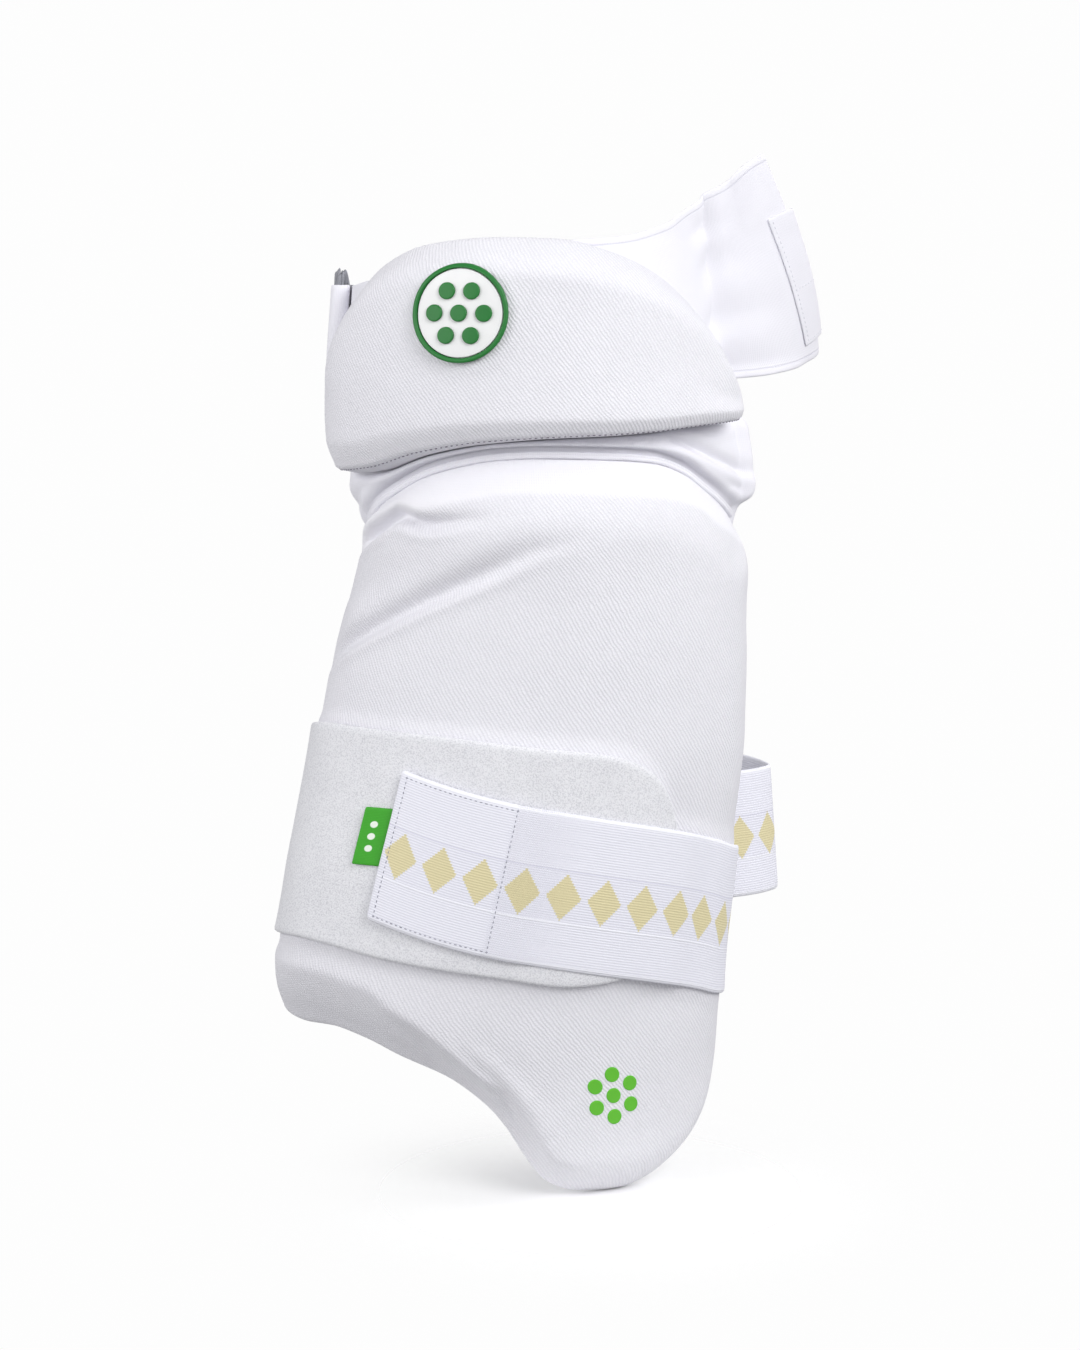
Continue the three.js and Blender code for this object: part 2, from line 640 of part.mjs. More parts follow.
// The back strap.
const backStrapColumns = 36;
const backStrapFlare = 5; // how much further out its lower edge stands beside the leg
const backStrapHeightAt = curveThrough(backStrapLine, "angle", "height");
const backStrapLiftAt = curveThrough(backStrapLine, "angle", "lift");
const backStrapGrid = grid(backStrapColumns, 3, (across, down) => {
  const angle = lerp(backStrapLine[0].angle, backStrapLine[backStrapLine.length - 1].angle, across);
  const middle = backStrapHeightAt(angle) * guardLength;
  const height = middle + (0.5 - down) * backStrapWidth;
  const free = smoothstep(angle, 76, 90) * (1 - smoothstep(angle, 150, 175));
  const lift = backStrapLiftAt(angle) * hollowWidth + free * backStrapFlare * (down - 0.5);
  const point = pointOnLeg(angle, lerp(height, middle, free), lift);
  return point.setZ(height);
});
add("back_strap", sheetSolid(backStrapGrid, strapThickness), finishes.elastic);

// The waist belt, and the tab of hook tape across its end.
const beltTuckedColumns = 12;
const beltFreeColumns = 15;
const beltComesFree = 58; // angle from which it shows beside the hip pad
const beltRows = 5;
const beltAt = Object.fromEntries(
  ["height", "width", "lift"].map((column) => [column, curveThrough(beltLine, "angle", column)]),
);
const beltFrom = beltLine[0].angle;
const beltTo = 99;
const beltFlareFrom = 74;
const beltFlare = 0.45; // how much further out its lower edge stands at its end, for its width
const beltMiddleLift = -reliefGap - beltThickness / 2;

// A point on the belt at an angle, a distance up from its middle line. Its width stands square to
// that line.
function pointOnBelt(angle, up) {
  const rise = (beltAt.height(angle + 1) - beltAt.height(angle - 1)) * guardLength;
  const slope = rise / (2 * millimetresPerDegree);
  const flare = beltFlare * smoothstep(angle, beltFlareFrom, beltTo);
  return pointOnLeg(
    angle - (up * slope) / millimetresPerDegree,
    beltAt.height(angle) * guardLength + up,
    beltMiddleLift + beltAt.lift(angle) * hollowWidth - up * flare,
  );
}
const beltColumns = beltTuckedColumns + beltFreeColumns;
const beltGrid = grid(beltColumns, beltRows, (across, down) => {
  const column = across * beltColumns;
  const tucked = lerp(beltFrom, beltComesFree, Math.min(column / beltTuckedColumns, 1));
  const free = Math.max(column - beltTuckedColumns, 0) / beltFreeColumns;
  const angle = lerp(tucked, beltTo, free);
  return pointOnBelt(angle, (0.5 - down) * beltAt.width(angle) * guardLength);
});
add("waist_belt", sheetSolid(beltGrid, beltThickness), finishes.jersey);

const beltTabDrop = 9.5; // how far the tab's middle is below the belt's
const beltTabOff = beltThickness / 2 + clearance + beltTabThickness / 2;
const beltEnd = pointOnBelt(beltTo, 0);
const beltForward = beltEnd.clone().sub(pointOnBelt(beltTo - 1, 0));
const beltTabGrid = grid(5, 4, (across, down) => {
  const reach = beltTabOverhang - (1 - across) * beltTabWidth;
  const angle = beltTo + reach / beltForward.length();
  const up = (0.5 - down) * beltTabHeight - beltTabDrop;
  const along = pointOnBelt(angle, up).sub(pointOnBelt(angle - 1, up));
  const upward = pointOnBelt(angle, up + 1).sub(pointOnBelt(angle, up));
  const outward = along.clone().cross(upward).normalize();
  return pointOnBelt(angle, up).addScaledVector(outward, beltTabOff);
});
add("belt_hook_tab", sheetSolid(beltTabGrid, beltTabThickness), finishes.hookTape);

// The belt's other end comes out at the hip pad's left edge and is rolled up there.
const backBeltLevel = 0.543; // its middle line's height, as a share of guardLength
const backBeltFrom = -52;
const backBeltTo = -86;
const backBeltFlatColumns = 8;
const rollColumns = 24;
const rollTurns = 1.5;
const rollPitch = 2.3; // from one turn of the roll to the next
const rollRadius = (backBeltRollDiameter - beltThickness) / 2;

const backBeltGrid = grid(backBeltFlatColumns + rollColumns, 3, (across, down) => {
  const column = Math.round(across * (backBeltFlatColumns + rollColumns));
  const height = backBeltLevel * guardLength + (0.5 - down) * backBeltHeight;
  const share = Math.min(column / backBeltFlatColumns, 1);
  const flat = pointOnLeg(lerp(backBeltFrom, backBeltTo, share), height, beltMiddleLift);
  if (column <= backBeltFlatColumns) return flat;
  const turned = ((column - backBeltFlatColumns) / rollColumns) * rollTurns;
  const radius = rollRadius - turned * rollPitch;
  return new THREE.Vector3(
    flat.x - rollRadius + radius * Math.cos(2 * Math.PI * turned),
    flat.y + radius * Math.sin(2 * Math.PI * turned),
    height,
  );
});
add("back_belt", sheetSolid(backBeltGrid.reverse(), beltThickness), finishes.jersey);

// The badge follows the hip pad's crown. It is a white disc in a raised rim, with a ring of studs
// round a middle one.
const badgeAngle = -16.8;
const badgeLevel = 0.5815; // its middle, as a share of guardLength
const badgePerDegree = degToRad(1) * (hollowWidth * 0.46 + hipPadThickness);
const rimSides = 28;

function pointOnBadge(right, up, off) {
  const angle = badgeAngle + right / badgePerDegree;
  const height = badgeLevel * guardLength + up;
  return pointOnLeg(angle, height, hipPadLift(angle, height) + off);
}

function discOnBadge(right, up, radius, from, to, steps) {
  const layer = (off) =>
    grid(steps, steps, (across, down) => {
      const u = 2 * across - 1;
      const v = 1 - 2 * down;
      return pointOnBadge(
        right + radius * u * Math.sqrt(1 - (v * v) / 2),
        up + radius * v * Math.sqrt(1 - (u * u) / 2),
        off,
      );
    });
  return solidBetween(layer(from), layer(to));
}

const badgeDiscRadius = badgeDiameter / 2 - badgeRimWidth - clearance;
const badgeDiscTop = reliefGap + badgeBaseThickness;
add("badge_base", discOnBadge(0, 0, badgeDiscRadius, reliefGap, badgeDiscTop, 8), finishes.whiteRubber);

const rimRings = Array.from({ length: rimSides }, (_, i) => {
  const turn = (2 * Math.PI * i) / rimSides;
  const corner = (radius, off) => pointOnBadge(radius * Math.cos(turn), radius * Math.sin(turn), off);
  const outside = badgeDiameter / 2;
  const top = reliefGap + badgeRimHeight;
  return [
    corner(outside - badgeRimWidth, reliefGap),
    corner(outside - badgeRimWidth, top),
    corner(outside, top),
    corner(outside, reliefGap),
  ];
});
add("badge_rim", loftRings(rimRings, true), finishes.greenRubber);

for (let i = 0; i <= badgeStudsRound; i += 1) {
  const spread = i === 0 ? 0 : badgeStudSpacing;
  const turn = (2 * Math.PI * i) / badgeStudsRound;
  const from = badgeDiscTop + clearance;
  const right = spread * Math.cos(turn);
  const up = spread * Math.sin(turn);
  const stud = discOnBadge(right, up, badgeStudDiameter / 2, from, from + badgeStudHeight, 4);
  add(`badge_stud_${i}`, stud, finishes.greenRubber);
}

export default guard;
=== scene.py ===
# The looks of a cricket thigh guard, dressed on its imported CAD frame. Metres, +Z up. The outside
# of the guard faces -Y, and the thigh's axis runs through the origin.
import math
import bpy
import numpy as np
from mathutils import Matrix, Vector, noise
from mathutils.bvhtree import BVHTree


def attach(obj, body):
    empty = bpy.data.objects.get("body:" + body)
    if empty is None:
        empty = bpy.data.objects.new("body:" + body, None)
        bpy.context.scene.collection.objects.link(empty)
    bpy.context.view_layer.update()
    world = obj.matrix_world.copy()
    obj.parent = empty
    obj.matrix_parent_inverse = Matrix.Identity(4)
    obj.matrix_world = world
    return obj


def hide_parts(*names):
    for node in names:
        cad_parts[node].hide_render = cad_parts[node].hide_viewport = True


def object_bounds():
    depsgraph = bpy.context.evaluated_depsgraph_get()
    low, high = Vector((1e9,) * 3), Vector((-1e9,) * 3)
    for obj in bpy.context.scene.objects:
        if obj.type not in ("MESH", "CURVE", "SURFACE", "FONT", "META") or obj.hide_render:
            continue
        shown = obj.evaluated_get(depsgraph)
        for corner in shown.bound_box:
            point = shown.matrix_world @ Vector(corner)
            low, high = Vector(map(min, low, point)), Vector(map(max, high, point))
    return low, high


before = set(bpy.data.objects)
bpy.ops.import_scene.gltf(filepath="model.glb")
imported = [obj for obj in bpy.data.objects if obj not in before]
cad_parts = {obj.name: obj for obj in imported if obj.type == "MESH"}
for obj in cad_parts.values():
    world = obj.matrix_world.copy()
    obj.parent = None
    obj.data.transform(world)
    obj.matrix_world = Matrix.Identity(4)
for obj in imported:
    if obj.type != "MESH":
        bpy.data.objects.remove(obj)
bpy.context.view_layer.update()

print("frame loaded")

# The leg and hip that the guard wraps. Levels are heights as shares of the guard's length, and
# sides and widths are shares of the hollow's width, backs and depths of its depth.
leg = {
    "length": 0.480,
    "hollowWidth": 0.210,
    "hollowDepth": 0.186,
    "wrapAngle": 75,  # how far the pads reach round it on either side, in degrees
    "level": [-0.38, -0.27, -0.17, -0.09, 0, 0.115, 0.18, 0.245, 0.305, 0.345, 0.39, 0.45, 0.54, 0.66],
    "side": [
        -0.06, -0.079, -0.108, -0.074, -0.043, -0.004, 0.01,
        0.029, 0.045, 0.037, 0.025, 0.016, -0.003, 0,
    ],
    "back": [0.03, 0.012, 0, 0, 0, 0, 0, 0, 0, 0, 0, 0, 0.01, 0.025],
    "width": [0.95, 1.008, 1.085, 1.033, 1.015, 0.99, 0.967, 0.926, 0.895, 0.927, 0.975, 0.971, 0.931, 0.9],
    "depth": [0.91, 0.945, 0.98, 0.99, 1, 1, 0.99, 0.98, 0.97, 0.975, 0.985, 1, 1, 0.98],
}
reliefGap = 0.0008  # between a cloth layer and the foam that it lies on
metresPerDegree = math.radians(1) * leg["hollowWidth"] / 2


def curveThrough(xs, ys):  # a smooth curve through a table's points, which never swings past them
    xs = np.array(xs, float)
    ys = np.array(ys, float)
    rise = np.diff(ys) / np.diff(xs)
    before = np.append(rise[0], rise)
    after = np.append(rise, rise[-1])
    rising = before * after > 0
    slopes = np.where(rising, 2 * before * after / np.where(rising, before + after, 1), 0)

    def curve(x):
        i = np.clip(np.searchsorted(xs, x) - 1, 0, len(xs) - 2)
        span = xs[i + 1] - xs[i]
        t = np.clip((x - xs[i]) / span, 0, 1)
        near = 1 - t
        start = near**2 * (1 + 2 * t) * ys[i] + near**2 * t * span * slopes[i]
        return start + t**2 * (3 - 2 * t) * ys[i + 1] - t**2 * near * span * slopes[i + 1]

    return curve


legAt = {name: curveThrough(leg["level"], leg[name]) for name in ("side", "back", "width", "depth")}


def stack(x, y, z):
    return np.stack(np.broadcast_arrays(x, y, z), axis=-1).astype(float)


def unit(vectors):
    return vectors / np.maximum(np.linalg.norm(vectors, axis=-1, keepdims=True), 1e-12)


def smoothStep(x, start, end):
    t = np.clip((x - start) / (end - start), 0, 1)
    return t * t * (3 - 2 * t)


def blendOf(a, b, share):
    return a + (b - a) * share


def outwardAt(angle, height):  # the way out of the leg
    level = np.asarray(height) / leg["length"]
    turn = np.radians(angle)
    x = legAt["depth"](level) * leg["hollowDepth"] * np.sin(turn)
    y = -legAt["width"](level) * leg["hollowWidth"] * np.cos(turn)
    return unit(stack(x, y, 0 * x))


def pointOnLeg(angle, height, lift):  # angle 0 is the front and 90 the right side
    level = np.asarray(height) / leg["length"]
    turn = np.radians(angle)
    x = (legAt["side"](level) + legAt["width"](level) * np.sin(turn) / 2) * leg["hollowWidth"]
    y = (legAt["back"](level) - legAt["depth"](level) * np.cos(turn) / 2) * leg["hollowDepth"]
    return stack(x, y, height) + outwardAt(angle, height) * np.asarray(lift)[..., None]


def crowned(distance, reach, atEdge):
    return 1 - (1 - atEdge) * (1 - np.clip(distance / reach, 0, 1)) ** 2


def bevelled(distance, reach, atEdge):
    return blendOf(atEdge, 1, np.clip(distance / reach, 0, 1))


def steepness(edge, angle):  # a sloping edge's length for each metre round the leg
    return np.hypot(1, (edge(angle + 2) - edge(angle - 2)) / (4 * metresPerDegree))


def distanceToEdge(edge, angle, height):
    return np.abs(height - edge(angle)) / steepness(edge, angle)


def toSideEdge(angle):  # from a pad's nearer side edge
    return (leg["wrapAngle"] - np.abs(angle)) * metresPerDegree


def edgeCurve(table):
    curve = curveThrough(table["across"], table["level"])
    return lambda angle: curve(angle / leg["wrapAngle"]) * leg["length"]


# Mesh helpers. A grid's first axis goes round the leg from left to right and its second one down.


def gridOf(columns, rows):  # the shares across and down of a grid's points
    return np.meshgrid(np.linspace(0, 1, columns + 1), np.linspace(0, 1, rows + 1), indexing="ij")


def gridQuads(columns, rows):
    i, j = np.meshgrid(np.arange(columns), np.arange(rows), indexing="ij")
    at = (i * (rows + 1) + j).ravel()
    return np.stack([at, at + 1, at + rows + 2, at + rows + 1], axis=1)


def addObject(name, data):
    made = bpy.data.objects.new(name, data)
    bpy.context.scene.collection.objects.link(made)
    return made


def pointsOf(piece):
    return np.array([vertex.co for vertex in piece.data.vertices])


def movePoints(piece, points):
    piece.data.vertices.foreach_set("co", points.astype(np.float32).ravel())
    piece.data.update()


def meshPiece(name, points, faces, places, finishes, finishOf=None):
    mesh = bpy.data.meshes.new(name)
    mesh.from_pydata(points.tolist(), [], [list(face) for face in faces])
    for finish in finishes:
        mesh.materials.append(finish)
    if finishOf is not None:
        mesh.polygons.foreach_set("material_index", finishOf)
    corners = np.zeros(len(mesh.loops), np.int32)
    mesh.loops.foreach_get("vertex_index", corners)
    layer = mesh.uv_layers.new(name="weave")
    layer.data.foreach_set("uv", places[corners].astype(np.float32).ravel())
    mesh.shade_smooth()
    return addObject(name, mesh)


def settle(piece):  # turns a piece with its modifiers into a plain mesh
    depsgraph = bpy.context.evaluated_depsgraph_get()
    evaluated = piece.evaluated_get(depsgraph)
    mesh = bpy.data.meshes.new_from_object(evaluated, preserve_all_data_layers=True, depsgraph=depsgraph)
    piece.modifiers.clear()
    piece.data = mesh
    mesh.name = piece.name
    mesh.shade_smooth()
    return piece


def subdivide(piece, levels=1):
    modifier = piece.modifiers.new("smooth", "SUBSURF")
    modifier.levels = levels
    modifier.render_levels = levels
    return settle(piece)


def cumulative(points):  # distances along a row of points
    return np.append(0, np.cumsum(np.linalg.norm(np.diff(points, axis=0), axis=1)))


def dress(piece, slot, *nodes):
    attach(piece, "root")
    if nodes:
        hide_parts(*nodes)
    return piece


def placesOnLeg(angle, height):  # where a cloth's pattern lies, round the leg and up it
    return np.stack([angle * metresPerDegree, height], axis=-1)


def placesAlong(points, across):  # and along a strap's middle line and across it
    along = cumulative(points[:, points.shape[1] // 2])
    return stack(along[:, None], across, 0)[..., :2]


def makeSheet(name, points, thickness, places, finishes, slot, node, finishOf=None):
    faces = gridQuads(points.shape[0] - 1, points.shape[1] - 1)
    finishes = [materials[finish] for finish in finishes]
    piece = meshPiece(name, points.reshape(-1, 3), faces, places.reshape(-1, 2), finishes, finishOf)
    modifier = piece.modifiers.new("wall", "SOLIDIFY")
    modifier.thickness = thickness
    modifier.offset = 0
    dress(subdivide(piece), slot, node)
    across = points[1:, :-1] - points[:-1, :-1]
    down = points[:-1, 1:] - points[:-1, :-1]
    area = float(np.linalg.norm(np.cross(across, down), axis=-1).sum())
    length = float(np.linalg.norm(np.diff(points, axis=0), axis=-1).sum(0).max())
    width = float(np.linalg.norm(np.diff(points, axis=1), axis=-1).sum(1).max())
    area = min(area, width * length)
    print(f"{piece.name}: cut {width * 1000:.0f} x {length * 1000:.0f} mm")


def roughen(points, size, depth):  # a smooth random height for each point
    return np.array([noise.noise(Vector(point) / size) for point in points]) * depth


# Materials. A Wire is a node's output, on which arithmetic adds Math nodes.


class Wire:
    def __init__(self, finish, socket):
        self.finish = finish
        self.socket = socket

    def __add__(self, other):
        return self.finish.maths("ADD", self, other)

    def __radd__(self, other):
        return self.finish.maths("ADD", other, self)

    def __sub__(self, other):
        return self.finish.maths("SUBTRACT", self, other)

    def __rsub__(self, other):
        return self.finish.maths("SUBTRACT", other, self)

    def __mul__(self, other):
        return self.finish.maths("MULTIPLY", self, other)

    def __rmul__(self, other):
        return self.finish.maths("MULTIPLY", other, self)

    def __truediv__(self, other):
        return self.finish.maths("DIVIDE", self, other)


class Nodes:  # the node tree of a material or a world
    def __init__(self, owner):
        owner.use_nodes = True
        self.owner = owner
        self.tree = owner.node_tree
        self.tree.nodes.clear()

    def node(self, kind, settings, inputs, output=0):
        made = self.tree.nodes.new("ShaderNode" + kind)
        for name, value in settings.items():
            setattr(made, name, value)
        for name, value in inputs.items():
            if isinstance(value, Wire):
                self.tree.links.new(value.socket, made.inputs[name])
            else:
                made.inputs[name].default_value = value
        return Wire(self, made.outputs[output])

    def output(self, kind, shader):
        made = self.tree.nodes.new("ShaderNodeOutput" + kind)
        self.tree.links.new(shader.socket, made.inputs["Surface"])


class Finish(Nodes):
    def __init__(self, name):
        super().__init__(bpy.data.materials.new(name))

    def maths(self, operation, *values):
        return self.node("Math", {"operation": operation}, dict(enumerate(values)))

    def clamp(self, value):
        return self.node("Clamp", {}, {"Value": value})

    def wave(self, x):  # 1 at each whole number and 0 between them
        return self.maths("COSINE", x * (2 * math.pi)) * 0.5 + 0.5

    def step(self, x, start, end):
        ends = {"Value": x, "From Min": start, "From Max": end}
        return self.node("MapRange", {"interpolation_type": "SMOOTHSTEP"}, ends)

    def stripe(self, x, middle, width, soft):  # 1 within a stripe, with soft edges
        away = self.maths("ABSOLUTE", x - middle)
        return 1 - self.step(away, width / 2 - soft / 2, width / 2 + soft / 2)

    def mix(self, factor, first, second):
        return self.node("Mix", {"data_type": "RGBA"}, {0: factor, 6: first, 7: second}, 2)

    def noise(self, scale, detail=2.0, roughness=0.5):
        place = self.node("TexCoord", {}, {}, "Object")
        inputs = {"Vector": place, "Scale": scale, "Detail": detail, "Roughness": roughness}
        return self.node("TexNoise", {}, inputs, "Fac")

    def place(self):  # distances round the leg, or along a strap, and up or across it
        uv = self.node("UVMap", {"uv_map": "weave"}, {})
        return [self.node("SeparateXYZ", {}, {"Vector": uv}, axis) for axis in ("X", "Y")]

    def bump(self, height, depth, strength=1.0):
        inputs = {"Height": height, "Distance": depth, "Strength": strength}
        return self.node("Bump", {}, inputs, "Normal")

    def finished(self, inputs):
        self.output("Material", self.node("BsdfPrincipled", {}, inputs, "BSDF"))
        return self.owner


def colour(red, green, blue):  # from the usual 0 to 255 scale
    shares = [value / 255 for value in (red, green, blue)]
    linear = [s / 12.92 if s < 0.04045 else ((s + 0.055) / 1.055) ** 2.4 for s in shares]
    return (*linear, 1.0)


clothFeel = {"Roughness": 0.9, "Specular IOR Level": 0.25, "Sheen Weight": 0.12, "Sheen Roughness": 0.5}

padCloth = {
    "colour": colour(240, 239, 244),
    # the groove colour is painted shade for the weave's grooves
    "groove": colour(206, 205, 213),
    "pitch": 0.0016,  # from rib to rib
    "lean": 58,  # degrees that the ribs fall to the right
    "yarn": 0.0013,  # along a rib
    "depth": 0.00034,
}


def makePadCloth():
    finish = Finish("padCloth")
    u, v = finish.place()
    lean = math.radians(padCloth["lean"])
    wander = (finish.noise(30, 2) - 0.5) * 0.7 + (finish.noise(240, 2) - 0.5) * 0.9
    across = (u * math.sin(lean) + v * math.cos(lean)) / padCloth["pitch"] + wander
    along = (v * math.sin(lean) - u * math.cos(lean)) / padCloth["yarn"]
    rib = finish.wave(across)
    bead = finish.wave(along + finish.maths("FLOOR", across + 0.5) * 0.37)
    fray = finish.noise(1100, 2)
    weave = rib * (0.5 + 0.5 * bead) + (fray - 0.5) * 0.9
    apron = finish.node("Attribute", {"attribute_name": "apron"}, {}, "Fac")
    knit = finish.wave(u / 0.0011) * 0.25 + finish.wave(v / 0.0013) * 0.15 + 0.5 + (fray - 0.5) * 0.3
    height = weave * (1 - apron) + knit * apron
    tone = finish.noise(22, 3) * 0.16 + 0.05
    # Painted shade in the weave's grooves, darker where the ribs dip, plus a random tone; none on the plain
    # apron.
    shade = finish.clamp((1 - weave) * 0.36 * (1 - apron) + tone)
    return finish.finished({
        **clothFeel,
        "Base Color": finish.mix(shade, padCloth["colour"], padCloth["groove"]),
        "Normal": finish.bump(height, padCloth["depth"], 0.75),
    })


def makeKnit(name, main, groove, wale, course, depth, hem=None):  # a smooth knitted cloth
    finish = Finish(name)
    u, v = finish.place()
    wales = finish.wave(u / wale)
    loops = finish.wave(v / course + wales * 0.3)
    fray = finish.noise(1300, 2)
    height = wales * 0.5 + loops * 0.3 + fray * 0.5
    # Random tone, plus painted shade in the grooves between the loops.
    tone = finish.noise(30, 3) * 0.35 + (1 - height) * 0.25
    # The hem's line is pressed in by the bump and painted darker as its shade.
    if hem:  # the line of a hem along the cloth's edges
        line = finish.stripe(v, hem, 0.0007, 0.0006)
        height = height - line * 1.6
        tone = tone + line * 0.7
    return finish.finished({
        **clothFeel,
        "Base Color": finish.mix(tone, main, groove),
        "Normal": finish.bump(height, depth, 0.6),
    })


loopPile = {
    "colour": colour(234, 234, 238),
    "shadow": colour(204, 204, 210),
    "loop": 1150,  # loops in a metre
    "depth": 0.0006,
}


def makeLoopPile():
    finish = Finish("loopPile")
    loops = finish.noise(loopPile["loop"], 3, 0.65)
    tufts = finish.noise(170, 2)
    height = loops * 0.8 + tufts * 0.3
    dark = finish.clamp(finish.step(loops, 0.56, 0.36) * 0.75 + (finish.noise(40, 2) - 0.4) * 0.35)
    return finish.finished({
        **clothFeel,
        "Sheen Weight": 0.25,
        "Base Color": finish.mix(dark, loopPile["colour"], loopPile["shadow"]),
        "Normal": finish.bump(height, loopPile["depth"], 0.8),
    })


elastic = {
    "colour": colour(240, 240, 248),
    # the groove colours are painted shade for the grooves between ribs and between cells
    "groove": colour(214, 213, 228),
    "motif": colour(229, 219, 179),
    "motifGrooveShade": colour(205, 194, 150),
    "rib": 0.0013,
    "bandFrom": 0.36,  # the patterned band, as shares of the width
    "bandTo": 0.70,
    "motifPitch": 0.0215,
    "motifWidth": 0.0185,
    "motifHeight": 0.0235,
    "cell": 0.0011,  # where it is sewn on the patch it is speckled with cells
    "lean": 0.0024,
    # each edge's line is raised by the bump and painted lighter as a highlight
    "edge": 0.0012,  # a raised line along each edge
    "edgeWidth": 0.0016,
    "depth": 0.00028,
}


def makeElastic(name, width, speckleFrom, speckleTo):
    finish = Finish(name)
    u, v = finish.place()
    ribs = finish.wave(v / elastic["rib"])
    fray = finish.noise(1500, 2)
    down = v / elastic["cell"]
    cells = finish.wave(u / elastic["cell"] + 0.5 * finish.maths("FLOOR", down)) * finish.wave(down)
    along = u + v * (elastic["lean"] / width)  # the seam where it starts leans a little
    speckled = finish.step(along, speckleFrom, speckleFrom + 0.001)
    speckled = speckled * finish.step(u, speckleTo, speckleFrom + 0.012)
    height = ribs * 0.6 * (1 - speckled) + cells * 0.9 * speckled + fray * 0.35

    top, foot = elastic["bandFrom"] * width, elastic["bandTo"] * width
    band = finish.stripe(v, (top + foot) / 2, foot - top, 0.0006)
    row = finish.maths("FLOOR", v / elastic["rib"]) * elastic["rib"]
    cell = finish.maths("FRACT", u / elastic["motifPitch"]) - 0.5
    sideways = finish.maths("ABSOLUTE", cell) * (elastic["motifPitch"] / (elastic["motifWidth"] / 2))
    upward = finish.maths("ABSOLUTE", row - (top + foot) / 2 + 0.0006) / (elastic["motifHeight"] / 2)
    lozenge = 1 - finish.step(sideways + upward, 0.96, 1.04)
    # Painted highlights: lighter lines along the band's foot and along each edge, which the bump also raises.
    edges = finish.stripe(v, foot, 0.0011, 0.0006)
    for place in (elastic["edge"], width - elastic["edge"]):
        edges = edges + finish.stripe(v, place, elastic["edgeWidth"], 0.0008)
    # Painted shadow: a dark line along the band's top seam.
    seamShadow = finish.stripe(v, top, 0.0007, 0.0005)

    # Painted shade in the grooves between ribs and between cells, the band a little darker, random fray, the
    # painted seam shadow and the painted edge highlights.
    dark = (1 - ribs) * 0.5 * (1 - speckled) + (1 - cells) * 0.4 * speckled + band * 0.1
    dark = finish.clamp(dark + (fray - 0.5) * 0.3 + seamShadow * 0.5 - edges * 0.9)
    plain = finish.mix(dark, elastic["colour"], elastic["groove"])
    pattern = finish.mix(dark, elastic["motif"], elastic["motifGrooveShade"])
    return finish.finished({
        **clothFeel,
        "Base Color": finish.mix(lozenge, plain, pattern),
        "Normal": finish.bump(height + edges * 0.6 + lozenge * 0.25, elastic["depth"], 0.7),
    })


def makeHookTape():
    finish = Finish("hookTape")
    u, v = finish.place()
    hooks = finish.wave(u / 0.0014) * finish.wave(v / 0.0016)
    height = hooks + finish.noise(900, 2) * 0.4
    return finish.finished({
        # Painted shade: darker between the hooks and lighter on their tops.
        "Base Color": finish.mix(hooks, colour(226, 226, 233), colour(243, 243, 248)),
        "Roughness": 0.55,
        "Normal": finish.bump(height, 0.0003, 0.5),
    })


label = {
    "level": 0.032,
    "width": 0.030,
    "degrees": 7,  # how far it stands out past the strap's end
    "span": 0.0128,  # the same in metres
    "thickness": 0.0008,
    "curl": 0.0016,
    "dot": 0.0034,
    "spacing": 0.0062,
}


def makeLabelCloth():
    finish = Finish("labelCloth")
    u, v = finish.place()
    weave = finish.wave(u / 0.0006) * 0.5 + finish.wave(v / 0.0008) * 0.5
    down = v - label["width"] / 2
    near = finish.maths("ABSOLUTE", down)
    row = finish.maths("MINIMUM", near, finish.maths("ABSOLUTE", near - label["spacing"]))
    sideways = u - label["span"] * 0.45
    away = finish.maths("SQRT", row * row + sideways * sideways)
    dots = 1 - finish.step(away, label["dot"] / 2 - 0.0002, label["dot"] / 2 + 0.0002)
    green = finish.mix(weave * 0.5 + finish.noise(60) * 0.3, colour(58, 172, 24), colour(44, 148, 18))
    return finish.finished({
        "Base Color": finish.mix(dots, green, colour(236, 244, 232)),
        "Roughness": 0.62,
        "Sheen Weight": 0.1,
        "Normal": finish.bump(weave, 0.00012, 0.5),
    })


def makeRubber(name, main, worn, roughness):
    finish = Finish(name)
    grain = finish.noise(1800, 3)
    patches = finish.noise(90, 2)
    return finish.finished({
        "Base Color": finish.mix(patches * 0.6, main, worn),
        "Roughness": finish.maths("ADD", grain * 0.18, roughness),
        "Coat Weight": 0.04,
        "Normal": finish.bump(grain, 0.00006, 0.5),
    })


def makeThread(name, main, dark):
    finish = Finish(name)
    return finish.finished({
        **clothFeel,
        "Base Color": finish.mix(finish.noise(2500, 1), main, dark),
    })


